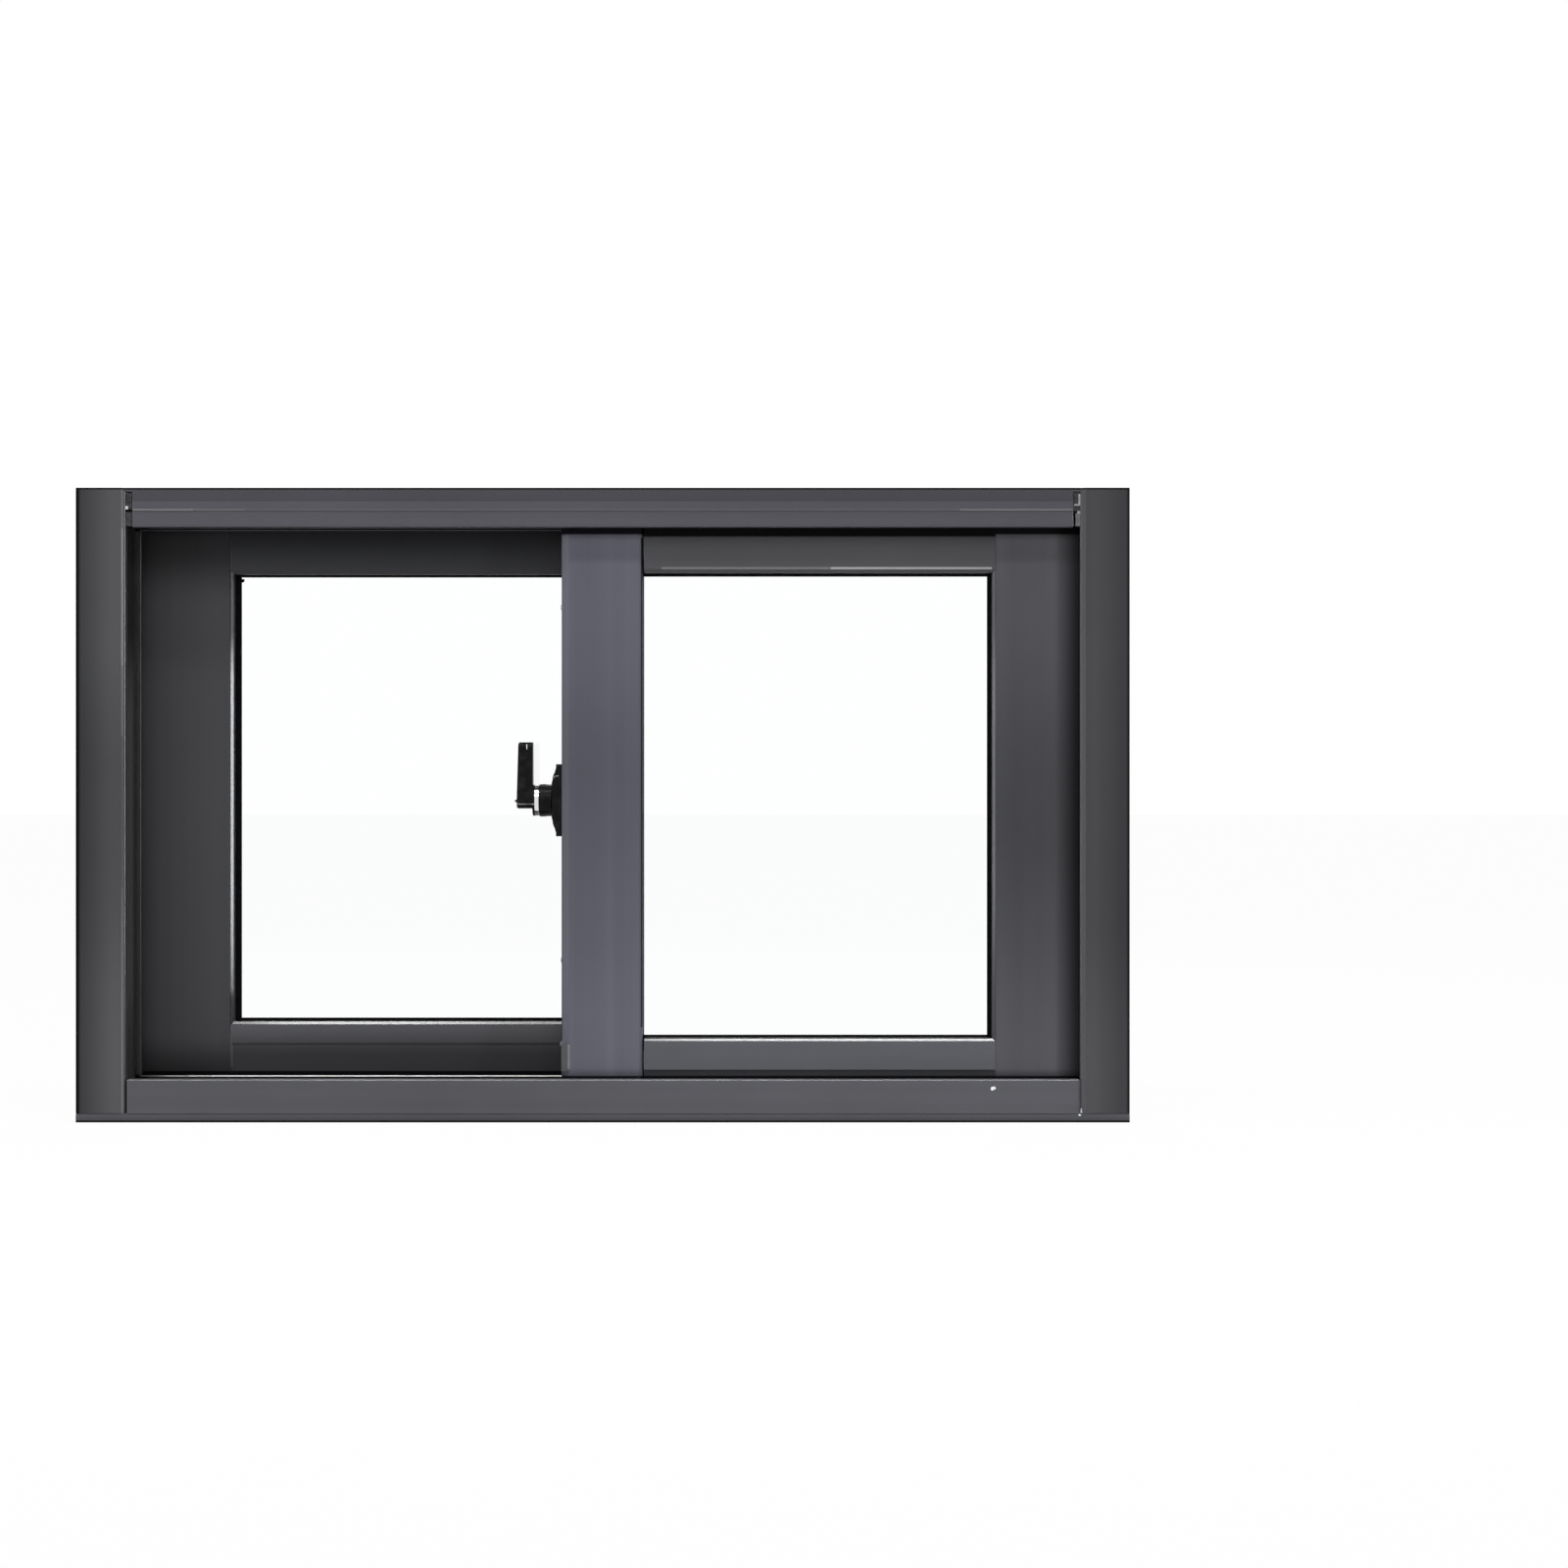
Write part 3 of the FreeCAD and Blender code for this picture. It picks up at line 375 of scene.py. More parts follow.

# Coat of each member: colour, direction of the extrusion, painted shade and gloss. All members have
# one powder coat; their colours are lit and shaded copies of it, painted light and shade, darkest
# on the recessed rear sash.
COATS = {
    "head": ((0.055, 0.054, 0.064), X,
             [(Z, 0.5302, 0.5308, 0.22), (Z, 0.54, 0.5409, 0.93, *ROOM_FACE),
              (Z, 0.5088, 0.5094, 0.93, *HEAD_FIN_FRONT)], SATIN),
    "sill": ((0.073, 0.073, 0.082), X,
             [(Z, 0.008, 0.001, 0.3), (Z, 0.0022, 0.0013, 0.93, *ROOM_FACE),
              (Z, 0.0354, 0.0351, 0.97, *SILL_FIN_FRONT)], SATIN),
    "left_jamb": ((0.061, 0.061, 0.0655), Z,
                  [(X, -0.445, -0.4488, 0.95, *ROOM_FACE), (X, -0.424, -0.448, 0.28, *ROOM_FACE),
                   (X, -0.414, -0.437, 0.17, *ROOM_FACE), (Y, -0.0541, -0.0535, 0.21),
                   (Z, 0.1, 0.25, 0.18, *LEFT_FACE_FOOT), (Z, 0.42, 0.3, 0.18, *LEFT_FACE_HEAD),
                   (X, -0.43, -0.447, 0.1, *ROOM_FACE),
                   (Z, 0.05, 0.22, 0.17), (Z, 0.54, 0.5409, 0.93, *ROOM_FACE),
                   (X, -0.4088, -0.408, 0.96, *JAMB_FIN_EDGE),
                   (X, -0.4045, -0.4035, 0.5, *JAMB_FIN_TIP), (Z, 0.34, 0.43, 0.6, *JAMB_FIN_FRONT),
                   (Z, 0.14, 0.06, 0.35, *JAMB_FIN_FRONT)], SATIN),
    "right_jamb": ((0.0515, 0.0515, 0.0555), Z,
                   [(X, 0.4465, 0.4495, 0.9, *ROOM_FACE), (X, 0.42, 0.447, 0.25, *ROOM_FACE),
                    (Z, 0.05, 0.2, 0.25), (Z, 0.54, 0.5409, 0.93, *ROOM_FACE),
                    (X, 0.404, 0.4032, 0.9)],
                   (0.2, 0.35)),
    "front_sash_top_rail": ((0.047, 0.047, 0.051), X,
                            [(Z, 0.485, 0.505, 0.4), (Z, 0.5, 0.5022, 0.95)], SATIN),
    "front_sash_bottom_rail": ((0.083, 0.084, 0.094), X,
                               [(Z, 0.0438, 0.0432, 0.68), (Z, 0.0389, 0.0384, 0.9),
                                (Z, 0.0702, 0.0707, 0.97), (X, 0.11, 0.02, 0.5, *FRONT_BEAD)],
                               (0.2, 0.37)),
    "front_sash_meeting_stile": ((0.107, 0.108, 0.134), Z,
                                 [(Z, 0.06, 0.3, 0.18), (Z, 0.06, 0.3, 0.17, *MEETING_FOOT),
                                  (Z, 0.45, 0.3, 0.17, *MEETING_HEAD), (Z, 0.047, 0.038, 0.4),
                                  (Z, 0.497, 0.506, 0.35), (Z, 0.0389, 0.0384, 0.9),
                                  (Z, 0.5022, 0.504, 0.95),
                                  (X, 0.0316, 0.0324, 0.85, *MEETING_RIGHT_EDGE),
                                  (X, -0.0353, -0.0359, 0.85, *MEETING_LEFT_EDGE)], DULL),
    "front_sash_side_stile": ((0.0685, 0.0685, 0.077), Z,
                              [(X, 0.385, 0.408, 0.82), (Z, 0.03, 0.26, 0.22),
                               (Z, 0.05, 0.26, 0.23, *FRONT_STILE_FOOT),
                               (Z, 0.44, 0.28, 0.23, *FRONT_STILE_HEAD),
                               (Z, 0.046, 0.038, 0.45), (Z, 0.497, 0.506, 0.35),
                               (Z, 0.0389, 0.0384, 0.9), (Z, 0.5022, 0.504, 0.95),
                               (Z, 0.36, 0.44, 0.45, *FRONT_STILE_BEAD),
                               (Z, 0.22, 0.12, 0.45, *FRONT_STILE_BEAD)], (0.2, 0.27)),
    "rear_sash_top_rail": (REAR_SHADED_GREY, X, [(Z, 0.475, 0.505, 0.6)], DULL),
    "rear_sash_bottom_rail": ((0.067, 0.067, 0.074), X,
                              [(Z, 0.079, 0.052, 0.62), (Z, 0.04, 0.039, 0.93),
                               (Z, 0.0822, 0.0826, 0.97), (X, -0.265, -0.33, 0.6, *REAR_BEAD),
                               (X, -0.19, -0.04, 0.5, *REAR_BEAD)],
                              (0.2, 0.28)),
    "rear_sash_side_stile": ((0.029, 0.029, 0.0325), Z,
                             [(X, -0.36, -0.4, 0.2), (Z, 0.075, 0.04, 0.55), (Z, 0.44, 0.5, 0.62),
                              (Z, 0.04, 0.039, 0.9), (Z, 0.375, 0.425, 0.8, *REAR_STILE_BEAD),
                              (Z, 0.113, 0.103, 0.7, *REAR_STILE_BEAD)], SATIN),
    "rear_sash_meeting_stile": (REAR_SHADED_GREY, Z, [], DULL),
}

# Pale strips painted as highlights on ridges, bevels, fin tips and the jamb's reveal, in metres:
# low corner, high corner and colour
HIGHLIGHT_STRIPS = {
    "head": [((-0.404, -0.0556, 0.5226), (-0.35, -0.054, 0.5238), 0.14),
             ((-0.35, -0.0556, 0.5226), (-0.305, -0.054, 0.5238), 0.09),
             ((0.305, -0.0556, 0.5226), (0.404, -0.054, 0.5238), 0.13)],
    "front_sash_top_rail": [((0.05, -0.055, 0.4731), (0.195, -0.03, 0.4751), 0.13),
                            ((0.195, -0.055, 0.4731), (0.333, -0.03, 0.4751), 0.32)],
    "sill": [((-0.405, -0.0072, 0.0352), (-0.362, -0.0028, 0.0365), 0.07),
             ((-0.362, -0.0072, 0.0352), (-0.342, -0.0028, 0.0365), 0.25),
             ((-0.342, -0.0072, 0.0352), (0.405, -0.0028, 0.0365), 0.6)],
    "left_jamb": [((-0.42, -0.0075, 0.03), (-0.4088, -0.0055, 0.51), 0.09),
                  ((-0.4112, -0.0556, 0.0), (-0.408, -0.054, 0.2), 0.125),
                  ((-0.4112, -0.0556, 0.2), (-0.408, -0.054, 0.33), 0.095),
                  ((-0.4112, -0.0556, 0.33), (-0.408, -0.054, 0.39), 0.14),
                  ((-0.4112, -0.0556, 0.39), (-0.408, -0.054, 0.507), 0.2),
                  ((-0.4112, -0.0556, 0.507), (-0.408, -0.054, 0.542), 0.12)],
}

# Places where the coat is chipped off, in metres
CHIPS = {
    "sill": [((0.3328, -0.055, 0.0288), 0.0018), ((0.3343, -0.055, 0.0293), 0.0015),
             ((0.4072, -0.055, 0.0067), 0.0013)],
    "right_jamb": [((0.4082, -0.0534, 0.0088), 0.0015), ((0.4086, -0.0536, 0.0108), 0.0009)],
}

# Pale arc on the room side of the lock's base, a painted highlight
BASE_HIGHLIGHT_ARC = [((x, -0.036, z), 0.0005) for x, z in
              ((-0.0429, 0.2946), (-0.0422, 0.2953), (-0.0413, 0.2958), (-0.0403, 0.29595),
               (-0.0394, 0.2959))]
# Pale line across the lever, a painted highlight: its height and half its width
LEVER_HIGHLIGHT_LINE = (0.2717, 0.0006)
CHROME = (0.82, 0.82, 0.84)

enamel = black_enamel("black_enamel")
lever_enamel = black_enamel("lever_enamel", highlight_lines=[LEVER_HIGHLIGHT_LINE])
base_enamel = black_enamel("base_enamel", highlight_spots=BASE_HIGHLIGHT_ARC)
ring_chrome = plated("ring_chrome", CHROME, 0.12, middle=0.275, bright_half=0.0108)
chrome = plated("chrome_plate", CHROME, 0.12)
zinc = plated("zinc_plate", (0.5, 0.5, 0.51), 0.35)
dark_steel = plated("blackened_steel", (0.09, 0.09, 0.095), 0.3)
fibres = pile()
gasket_rubber = rubber()
pad_foam = foam("corner_foam", (0.01, 0.01, 0.011), (0.06, 0.06, 0.066))
# Pale plastic for the painted highlights on the end block
highlight_plastic = moulded("highlight_plastic", (0.12, 0.12, 0.125), (0.2, 0.2, 0.205))
pale_foam = foam("pale_tab", (0.05, 0.05, 0.052), (0.15, 0.15, 0.15))
# Pale colour for the lips along the right pad's edges, painted highlights
tab_highlight = foam("tab_highlight", (0.14, 0.14, 0.14), (0.34, 0.34, 0.34))
joint_grey = foam("joint_grey", (0.05, 0.05, 0.054), (0.075, 0.075, 0.08))
# Pale colour for the speck on the left pad, a painted glint
glint_speck = foam("glint_speck", (0.5, 0.5, 0.5), (0.85, 0.85, 0.84))

SLOT_MATERIALS = {
    "glass": clear_glass(),
    "gasket": gasket_rubber,
    "pile": fibres,
    "foam": pad_foam,
    "wheel": moulded("nylon", (0.5, 0.49, 0.45), (0.68, 0.67, 0.62)),
    "bracket": zinc,
    "lock_black": enamel,
    "lock_chrome": chrome,
    "keeper": zinc,
    "end_block": moulded("grey_plastic", (0.042, 0.042, 0.048), (0.064, 0.064, 0.071)),
}

# Nodes whose painted highlights and painted dark reflection set them apart from the rest of their
# slot
NODE_MATERIALS = {"lock_lever": lever_enamel, "lock_base": base_enamel, "lock_ring": ring_chrome}


def coat_of(node):
    """Powder coat of one frame or sash member."""
    colour, along, painted_shade, gloss = COATS[node]
    return powder_coat(node + "_coat", colour, along, painted_shade, gloss, CHIPS.get(node, ()),
                       HIGHLIGHT_STRIPS.get(node, ()))


# Edge radii of what is extruded, folded or cast
EDGE_RADIUS = {"frame_finish": 0.0005, "sash_finish": 0.0005, "lock_black": 0.0004,
               "lock_chrome": 0.0002, "keeper": 0.0003, "bracket": 0.0003, "glass": 0.0004}
SHARP_ANGLE = math.radians(28)
TOUCHING = 1e-6


def soften(piece, radius):
    """Small round on every sharp edge, which catches the light, and even shading on flat faces."""
    weld = piece.modifiers.new("weld", "WELD")
    weld.merge_threshold = TOUCHING
    bevel = piece.modifiers.new("edge", "BEVEL")
    bevel.width = radius
    bevel.segments = 2
    bevel.limit_method = "ANGLE"
    bevel.angle_limit = SHARP_ANGLE
    bevel.use_clamp_overlap = True
    bevel.loop_slide = False
    flat = piece.modifiers.new("flat_faces", "WEIGHTED_NORMAL")
    flat.mode = "FACE_AREA"
    flat.keep_sharp = True


def dress_nodes():
    """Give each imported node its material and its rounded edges."""
    for row in frame["record"]["subparts"]:
        node = row["node"]
        slot = row["material_slot"]
        piece = frame["nodes"][node]
        material = SLOT_MATERIALS.get(slot) or coat_of(node)
        material = NODE_MATERIALS.get(node, material)
        for held in piece.material_slots:
            held.material = material
        if slot in EDGE_RADIUS:
            soften(piece, EDGE_RADIUS[slot])


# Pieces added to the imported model

def add_piece(name, shape, material, body=WINDOW):
    """Turn a bmesh into a piece that rides on a body."""
    mesh = bpy.data.meshes.new(name)
    shape.to_mesh(mesh)
    shape.free()
    piece = bpy.data.objects.new(name, mesh)
    bpy.context.scene.collection.objects.link(piece)
    mesh.materials.append(material)
    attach(piece, body)
    return piece


MM = 0.001
DEPTH_HALF = 55.0
# Corners of a box run over its low and high side on the first, second and third axis
BOX_FACES = ((0, 1, 3, 2), (4, 6, 7, 5), (0, 4, 5, 1), (2, 3, 7, 6), (0, 2, 6, 4), (1, 5, 7, 3))


def spot(x, depth, z):
    """A place in metres from millimetres, with the depth counted from the room side."""
    return Vector((x, depth - DEPTH_HALF, z)) * MM


def add_solid(name, corners, faces, material):
    """A piece from plain lists of corners and faces."""
    mesh = bpy.data.meshes.new(name)
    mesh.from_pydata(corners, [], faces)
    shape = bmesh.new()
    shape.from_mesh(mesh)
    bpy.data.meshes.remove(mesh)
    bmesh.ops.recalc_face_normals(shape, faces=shape.faces)
    return add_piece(name, shape, material)


# Pile strips with single fibres

# Sizes of the fibres, of the frame round them and of the strips
FIBRE_STEP = 0.45
FIBRE_ROOT = 0.2
FIBRE_ROWS = (-0.65, 0.0, 0.65)
FIBRE_TURNS = (0.0, 2.1, 4.2)
JAMB_FACE = 42.0
JAMB_FIN = 47.4
HEAD_FACE = 33.7
HEAD_FIN = 33.4
SILL_FACE = 36.6
SILL_FIN = 36.0
PILE_SEAT = 2.6
FIN_PILE_SEAT = 4.2
PILE_BASE = (4.8, 0.6)
HEIGHT = 542.0
HALF_WIDTH = 450.0
PILE_REACH = 1.7
HOOK_PILE_REACH = 7.7
JAMB_PILE_ENDS = (36.8, 508.1)
RAIL_PILE_ENDS = (-396.1, 396.1)
HOOK_PILE_ENDS = (40.2, 504.4)
# Depth of each row of strips and the way it faces; the first one stands in the room-side face
SEAT_DEPTHS = ((12.0, 1), (48.0, -1), (52.0, 1), (88.0, -1))


def strip_box(place, low, high, depth, towards):
    """Corners and faces of a strip's backing."""
    width, thickness = PILE_BASE
    corners = [place(along, across, own) for along in (low, high)
               for across in (-width / 2, width / 2)
               for own in (depth, depth + towards * thickness)]
    return corners, BOX_FACES


def strip_fibres(place, low, high, depth, towards, reach, chance):
    """Three rows of slim pyramids that lean a little to all sides."""
    corners = []
    faces = []
    root = depth + towards * PILE_BASE[1] * 0.8
    count = int((high - low) / FIBRE_STEP)
    for step in range(count):
        for row in FIBRE_ROWS:
            along = low + (step + chance.random()) * FIBRE_STEP
            across = row + chance.uniform(-0.15, 0.15)
            tip = depth + towards * reach * chance.uniform(0.86, 1.0)
            start = len(corners)
            for turn in FIBRE_TURNS:
                corners.append(place(along + FIBRE_ROOT * math.cos(turn),
                                     across + FIBRE_ROOT * math.sin(turn), root))
            corners.append(place(along + chance.uniform(-0.3, 0.3),
                                 across + chance.uniform(-0.2, 0.2), tip))
            faces += [(start, start + 1, start + 3), (start + 1, start + 2, start + 3),
                      (start + 2, start, start + 3)]
    return corners, faces


def add_brush(node, rows, seed):
    """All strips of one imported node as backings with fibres, in its place."""
    chance = random.Random(seed)
    corners = []
    faces = []
    for place, low, high, depth, towards, reach in rows:
        parts = (strip_box(place, low, high, depth, towards),
                 strip_fibres(place, low, high, depth, towards, reach, chance))
        for more, shapes in parts:
            first = len(corners)
            corners += more
            faces += [tuple(index + first for index in face) for face in shapes]
    piece = add_solid(node + "_brush", corners, faces, fibres)
    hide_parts(node)


def upright(seat):
    """Places on a strip that runs upwards, with its seat to the side."""
    return lambda along, across, depth: spot(seat + across, depth, along)


def level(seat):
    """Places on a strip that runs sideways, with its seat at a height."""
    return lambda along, across, depth: spot(along, depth, seat + across)


def make_brushes():
    """Strips in jambs, head and sill, and the two long ones between the meeting stiles."""
    jambs = []
    rails = []
    for number, (depth, towards) in enumerate(SEAT_DEPTHS):
        own_seat = FIN_PILE_SEAT if number else PILE_SEAT
        jamb_seat = HALF_WIDTH - (JAMB_FIN if number else JAMB_FACE) + own_seat
        head_seat = HEIGHT - (HEAD_FIN if number else HEAD_FACE) + own_seat
        sill_seat = (SILL_FIN if number else SILL_FACE) - own_seat
        for side in (-1, 1):
            jambs.append((upright(side * jamb_seat), *JAMB_PILE_ENDS, depth, towards, PILE_REACH))
        for seat in (head_seat, sill_seat):
            rails.append((level(seat), *RAIL_PILE_ENDS, depth, towards, PILE_REACH))
    hooks = [(upright(-4.0), *HOOK_PILE_ENDS, 46.0, 1, HOOK_PILE_REACH),
             (upright(26.0), *HOOK_PILE_ENDS, 54.0, -1, HOOK_PILE_REACH)]
    add_brush("jamb_pile_strips", jambs, 11)
    add_brush("head_and_sill_pile_strips", rails, 12)
    add_brush("interlock_pile_strips", hooks, 13)


# Foam pads in the corners of the head

COARSE_TEAR = 900
FINE_TEAR = 2300


def rough_block(shape, low, high, cuts, ragged, seed):
    """A box with many faces whose skin is torn inwards, about as deep as it is ragged."""
    low = spot(*low)
    high = spot(*high)
    matrix = Matrix.Translation((low + high) / 2) @ Matrix.Diagonal((*(high - low), 1))
    made = bmesh.ops.create_cube(shape, size=1, matrix=matrix)
    edges = {edge for vertex in made["verts"] for edge in vertex.link_edges}
    bmesh.ops.subdivide_edges(shape, edges=list(edges), cuts=cuts, use_grid_fill=True)
    middle = (low + high) / 2
    offset = Vector((seed * 3.1, 0, seed * 1.7))
    for vertex in shape.verts:
        if all(low[axis] - TOUCHING <= vertex.co[axis] <= high[axis] + TOUCHING
               for axis in (X, Y, Z)):
            tear = (noise.noise(vertex.co * COARSE_TEAR + offset)
                    + 0.6 * noise.noise(vertex.co * FINE_TEAR + offset))
            inwards = (middle - vertex.co).normalized()
            vertex.co += inwards * ragged * MM * max(0.0, 0.5 + tear)


def add_foam(name, blocks, material):
    """A piece of rough blocks, each with its corners, cuts, ragged amount and seed."""
    shape = bmesh.new()
    for block in blocks:
        rough_block(shape, *block)
    return add_piece(name, shape, material)


def make_corner_foam():
    """Dark torn foam with a pale speck as a painted glint on the left, a pad with pale lips as
    painted highlights and a pale tab on the right.
    """
    foam_piece = add_foam("corner_foam", (((-407.9, 1.7, 523.5), (-402.2, 8.4, 538.5), 9, 1.5, 1),
                                          ((-407.9, 2.6, 509.2), (-402.2, 8.4, 521.6), 7, 0.7, 2),
                                          ((402.0, 2.4, 521.9), (407.9, 8.4, 538.6), 6, 0.4, 3)),
                          pad_foam)
    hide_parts("corner_pads")
    add_foam("corner_tabs", (((403.8, 1.7, 509.3), (407.9, 8.4, 520.6), 6, 0.3, 6),), pale_foam)
    add_foam("tab_highlights", (((406.3, 1.65, 528.0), (407.9, 3.4, 536.6), 3, 0.12, 4),
                          ((402.6, 1.65, 526.6), (407.9, 3.4, 528.2), 3, 0.12, 5),
                          ((405.4, 1.65, 520.0), (407.9, 3.0, 522.4), 3, 0.25, 8)), tab_highlight)
    add_foam("foam_glint", (((-407.7, 1.65, 523.6), (-405.6, 2.9, 526.4), 3, 0.5, 7),), glint_speck)


# Screws

# Free edge of the front meeting stile, and height of the lock's middle
STILE_EDGE = -36.2
LOCK_HEIGHT = 275.0
LOCK_SCREW_OFFSET = 20.6
STILE_SCREW_HEIGHTS = (440.8, 137.8)
BASE_SLOPE = math.atan2(3.7, 12.5)
# Radius and height of the screws' heads
LOCK_SCREW = (3.1, 1.3)
STILE_SCREW = (2.2, 1.3)
SCREW_RINGS = 14
SCREW_SIDES = 56
# Shares of the head's height that its rim, its dome and the part sunk in the seat have
RIM_SHARE = 0.45
DOME_SHARE = 0.55
SUNK_SHARE = 1.2
# Recess, as shares of the head's radius and, for its depth, of the head's height
RECESS_WIDTH = 0.3
RECESS_REACH = 0.62
RECESS_DEPTH = 0.75


def screw_height(radius, turn, rim, dome):
    """Height of a cross-recess pan head over its seat."""
    share = radius / rim
    height = dome * (RIM_SHARE + DOME_SHARE * math.sqrt(max(0.0, 1 - share * share)))
    across = min(abs(radius * math.sin(turn)), abs(radius * math.cos(turn)))
    along = max(abs(radius * math.sin(turn)), abs(radius * math.cos(turn)))
    if across < rim * RECESS_WIDTH / 2 and along < rim * RECESS_REACH:
        height -= dome * RECESS_DEPTH
    return height


def add_screw(shape, centre, axis, rim, dome):
    """Pan head with a cross recess, seated at a place in metres and looking along an axis."""
    turn_to = axis.to_track_quat("Z", "X").to_matrix()
    rows = []
    for ring in range(SCREW_RINGS + 1):
        radius = rim * ring / SCREW_RINGS
        row = []
        for step in range(SCREW_SIDES):
            turn = 2 * math.pi * step / SCREW_SIDES
            height = screw_height(radius, turn, rim, dome)
            local = Vector((radius * math.cos(turn), radius * math.sin(turn), height)) * MM
            row.append(shape.verts.new(centre + turn_to @ local))
            if ring == 0:
                break
        rows.append(row)
    skirt = [shape.verts.new(vertex.co - axis * dome * SUNK_SHARE * MM) for vertex in rows[-1]]
    rows.append(skirt)
    for step in range(SCREW_SIDES):
        after = (step + 1) % SCREW_SIDES
        shape.faces.new((rows[0][0], rows[1][step], rows[1][after]))
        for inner, outer in zip(rows[1:], rows[2:]):
            shape.faces.new((inner[step], outer[step], outer[after], inner[after]))
    shape.faces.new(list(reversed(skirt)))


def make_screws():
    """Two screws in the lock's sloped base and two in the free edge of the meeting stile."""
    shape = bmesh.new()
    for side in (-1, 1):
        axis = Vector((-math.cos(BASE_SLOPE), 0, side * math.sin(BASE_SLOPE)))
        centre = spot(STILE_EDGE - 7.0, 30.0, LOCK_HEIGHT + side * LOCK_SCREW_OFFSET)
        add_screw(shape, centre, axis, *LOCK_SCREW)
    add_piece("lock_screws", shape, dark_steel)
    shape = bmesh.new()
    for height in STILE_SCREW_HEIGHTS:
        add_screw(shape, spot(STILE_EDGE, 24.0, height), Vector((-1, 0, 0)), *STILE_SCREW)
    add_piece("stile_screws", shape, zinc)


# Small parts of lock and glass

PIN_RADIUS = 0.45
PIN_SIDES = 24


def make_lever_pin():
    """Bright pin that shows in the slot at the top of the lever."""
    start = spot(-66.6, 25.9, 318.8)
    end = spot(-66.6, 25.9, 323.4)
    axis = end - start
    turn_to = axis.to_track_quat("Z", "X").to_matrix().to_4x4()
    shape = bmesh.new()
    bmesh.ops.create_cone(shape, cap_ends=True, segments=PIN_SIDES, depth=axis.length,
                          radius1=PIN_RADIUS * MM, radius2=PIN_RADIUS * MM,
                          matrix=Matrix.Translation((start + end) / 2) @ turn_to)
    add_piece("lever_pin", shape, chrome, HANDLE)


def make_gasket_nub():
    """Squeezed corner of the gasket at the upper left of the rear glass."""
    shape = bmesh.new()
    made = bmesh.ops.create_icosphere(shape, subdivisions=3, radius=1.7 * MM,
                                      matrix=Matrix.Translation(spot(-317.9, 66.4, 466.4)))
    for vertex in made["verts"]:
        vertex.co += Vector((1, 0.4, 1)) * noise.noise(vertex.co * 700) * 0.6 * MM
    add_piece("gasket_nub", shape, gasket_rubber)


def add_bars(name, bars, material):
    """Plain bars from rows of low and high places, with the depth from the room side."""
    corners = []
    faces = []
    for low, high in bars:
        first = len(corners)
        corners += [spot(x, depth, z) for x in (low[0], high[0]) for depth in (low[1], high[1])
                    for z in (low[2], high[2])]
        faces += [tuple(first + corner for corner in face) for face in BOX_FACES]
    add_solid(name, corners, faces, material)


def make_end_block_highlights():
    """Pale bars as painted highlights: a lip along the end block and a small catch at its upper
    corner.
    """
    lip = ((-30.7, 13.7, 44.5), (-29.0, 15.2, 65.4))
    catch = ((-37.4, 16.2, 64.6), (-34.4, 18.6, 67.4))
    add_bars("end_block_highlights", (lip, catch), highlight_plastic)


def make_joint_sealant():
    """Grey sealant in the joint between sill and right jamb."""
    bead = ((406.45, 0.5, 7.8), (407.95, 2.5, 36.0))
    add_bars("joint_sealant", (bead,), joint_grey)


# For each sash where its seals lie across and in depth, and the heights they run over
SEALS = (((33.5, 36.0), (42.0, 44.0), ((36.9, 57.7), (484.1, 508.4))),
         ((-38.6, -36.1), (59.0, 61.0), ((36.9, 69.4), (485.1, 508.4))))


def make_joint_seals():
    """Rubber behind the joints of rails and meeting stiles, which keeps the light out."""
    bars = [((across[0], depth[0], low), (across[1], depth[1], high))
            for across, depth, heights in SEALS for low, high in heights]
    add_bars("joint_seals", bars, gasket_rubber)


# Floor, light and camera

FLOOR_DROP = 0.0006
FLOOR_HALF = 30.0
FLOOR_WHITE = 0.97
WORLD_LIGHT = 0.14


def ray_share(made):
    """One for rays from the camera, from gloss and through glass."""
    path = made.node("ShaderNodeLightPath")
    seen = made.math("MAXIMUM", path.outputs["Is Camera Ray"], path.outputs["Is Glossy Ray"])
    return made.math("MAXIMUM", seen, path.outputs["Is Transmission Ray"])


def make_world():
    """White behind the window for the camera, and a faint even light for everything else."""
    world = bpy.data.worlds.new("studio")
    bpy.context.scene.world = world
    made = Shader("studio", world)
    seen = made.node("ShaderNodeBackground", {"Color": rgba(1, 1, 1), "Strength": 1.0})
    lit = made.node("ShaderNodeBackground", {"Color": rgba(0.93, 0.95, 1.0),
                                             "Strength": WORLD_LIGHT})
    both = made.node("ShaderNodeMixShader", {0: ray_share(made), 1: lit.outputs[0],
                                             2: seen.outputs[0]})
    made.node("ShaderNodeOutputWorld", {"Surface": both.outputs[0]})


def make_floor():
    """Wide pale floor under the sill, nearly white to the camera, with a faint shadow."""
    made = Shader("pale_floor")
    speckle = made.noise(made.position(), 30.0, 3.0)
    colour = made.mix_colour(speckle, rgba(0.86, 0.86, 0.86), rgba(0.9, 0.9, 0.9))
    matte = made.node("ShaderNodeBsdfDiffuse", {"Color": colour}).outputs[0]
    white = made.node("ShaderNodeEmission", {"Color": rgba(1, 1, 1), "Strength": 1.0}).outputs[0]
    share = made.math("MULTIPLY", ray_share(made), FLOOR_WHITE)
    both = made.node("ShaderNodeMixShader", {0: share, 1: matte, 2: white})
    material = made.finish(both.outputs[0])
    shape = bmesh.new()
    bmesh.ops.create_grid(shape, x_segments=1, y_segments=1, size=FLOOR_HALF)
    mesh = bpy.data.meshes.new("floor")
    shape.to_mesh(mesh)
    shape.free()
    floor = bpy.data.objects.new("floor", mesh)
    floor.location.z = -FLOOR_DROP
    bpy.context.scene.collection.objects.link(floor)
    mesh.materials.append(material)


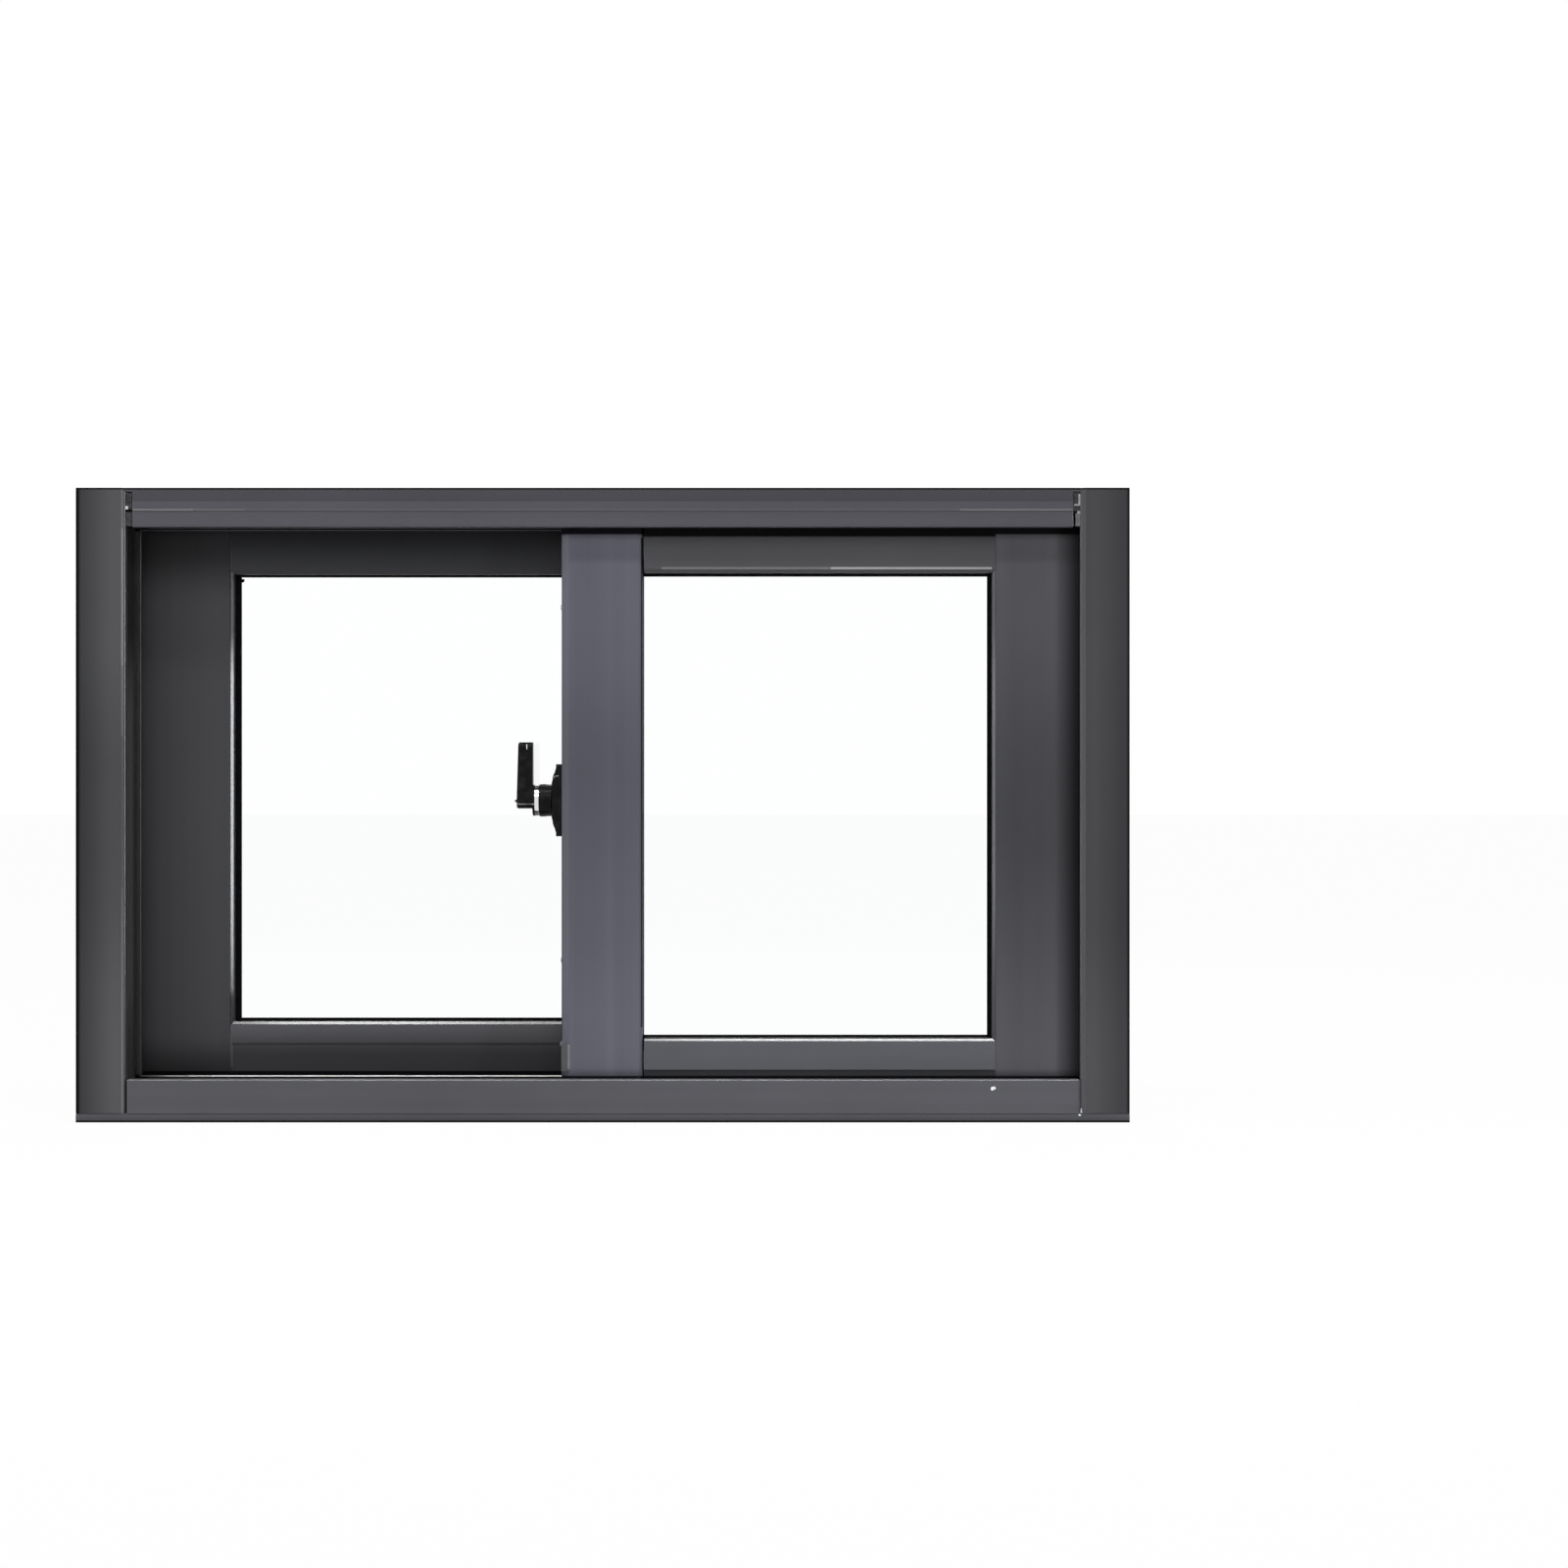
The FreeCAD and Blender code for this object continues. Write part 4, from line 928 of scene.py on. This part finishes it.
def add_lamp(name, place, target, size, power, colour=(1, 1, 1)):
    """A rectangular lamp that looks at its target, with its width and height and its watts."""
    data = bpy.data.lights.new(name, "AREA")
    data.shape = "RECTANGLE"
    data.size = size[0]
    data.size_y = size[1]
    data.energy = power
    data.color = colour
    lamp = bpy.data.objects.new(name, data)
    lamp.location = place
    lamp.rotation_euler = (Vector(target) - Vector(place)).to_track_quat("-Z", "Y").to_euler()
    bpy.context.scene.collection.objects.link(lamp)


def make_lamps():
    """Soft key from above, a strip of light overhead, two lamps on each side and one behind."""
    middle = (0, 0, 0.27)
    add_lamp("key", (0.1, -1.9, 1.8), middle, (1.6, 0.6), 16)
    add_lamp("overhead", (0.0, -0.85, 2.25), middle, (1.8, 0.16), 27)
    add_lamp("left", (-1.55, -0.97, 0.3), middle, (0.4, 0.9), 11, (0.97, 0.98, 1.0))
    add_lamp("right", (2.05, -1.15, 0.3), middle, (0.2, 1.0), 21, (0.94, 0.96, 1.0))
    add_lamp("low_left", (-1.05, -2.2, 0.35), middle, (0.3, 0.9), 1.6)
    add_lamp("low_right", (1.15, -2.2, 0.35), middle, (0.3, 0.9), 1.6)
    add_lamp("rear", (0.4, 2.6, 1.8), middle, (2.4, 1.4), 30)


def make_camera():
    """Level camera whose lens makes the room-side face as wide as in the photograph."""
    data = bpy.data.cameras.new("camera")
    data.sensor_width = SENSOR_WIDTH
    data.lens = data.sensor_width * CAMERA_DISTANCE / (IMAGE_PIXELS * METRES_PER_PIXEL)
    camera = bpy.data.objects.new("camera", data)
    camera.location = (CAMERA_X, FRONT_FACE - CAMERA_DISTANCE, CAMERA_Z)
    camera.rotation_euler = (math.radians(90), 0, 0)
    bpy.context.scene.collection.objects.link(camera)
    bpy.context.scene.camera = camera


dress_nodes()
make_brushes()
make_corner_foam()
make_screws()
make_lever_pin()
make_gasket_nub()
make_end_block_highlights()
make_joint_sealant()
make_joint_seals()
make_world()
make_floor()
make_lamps()
make_camera()
bpy.context.scene.view_settings.view_transform = "Standard"
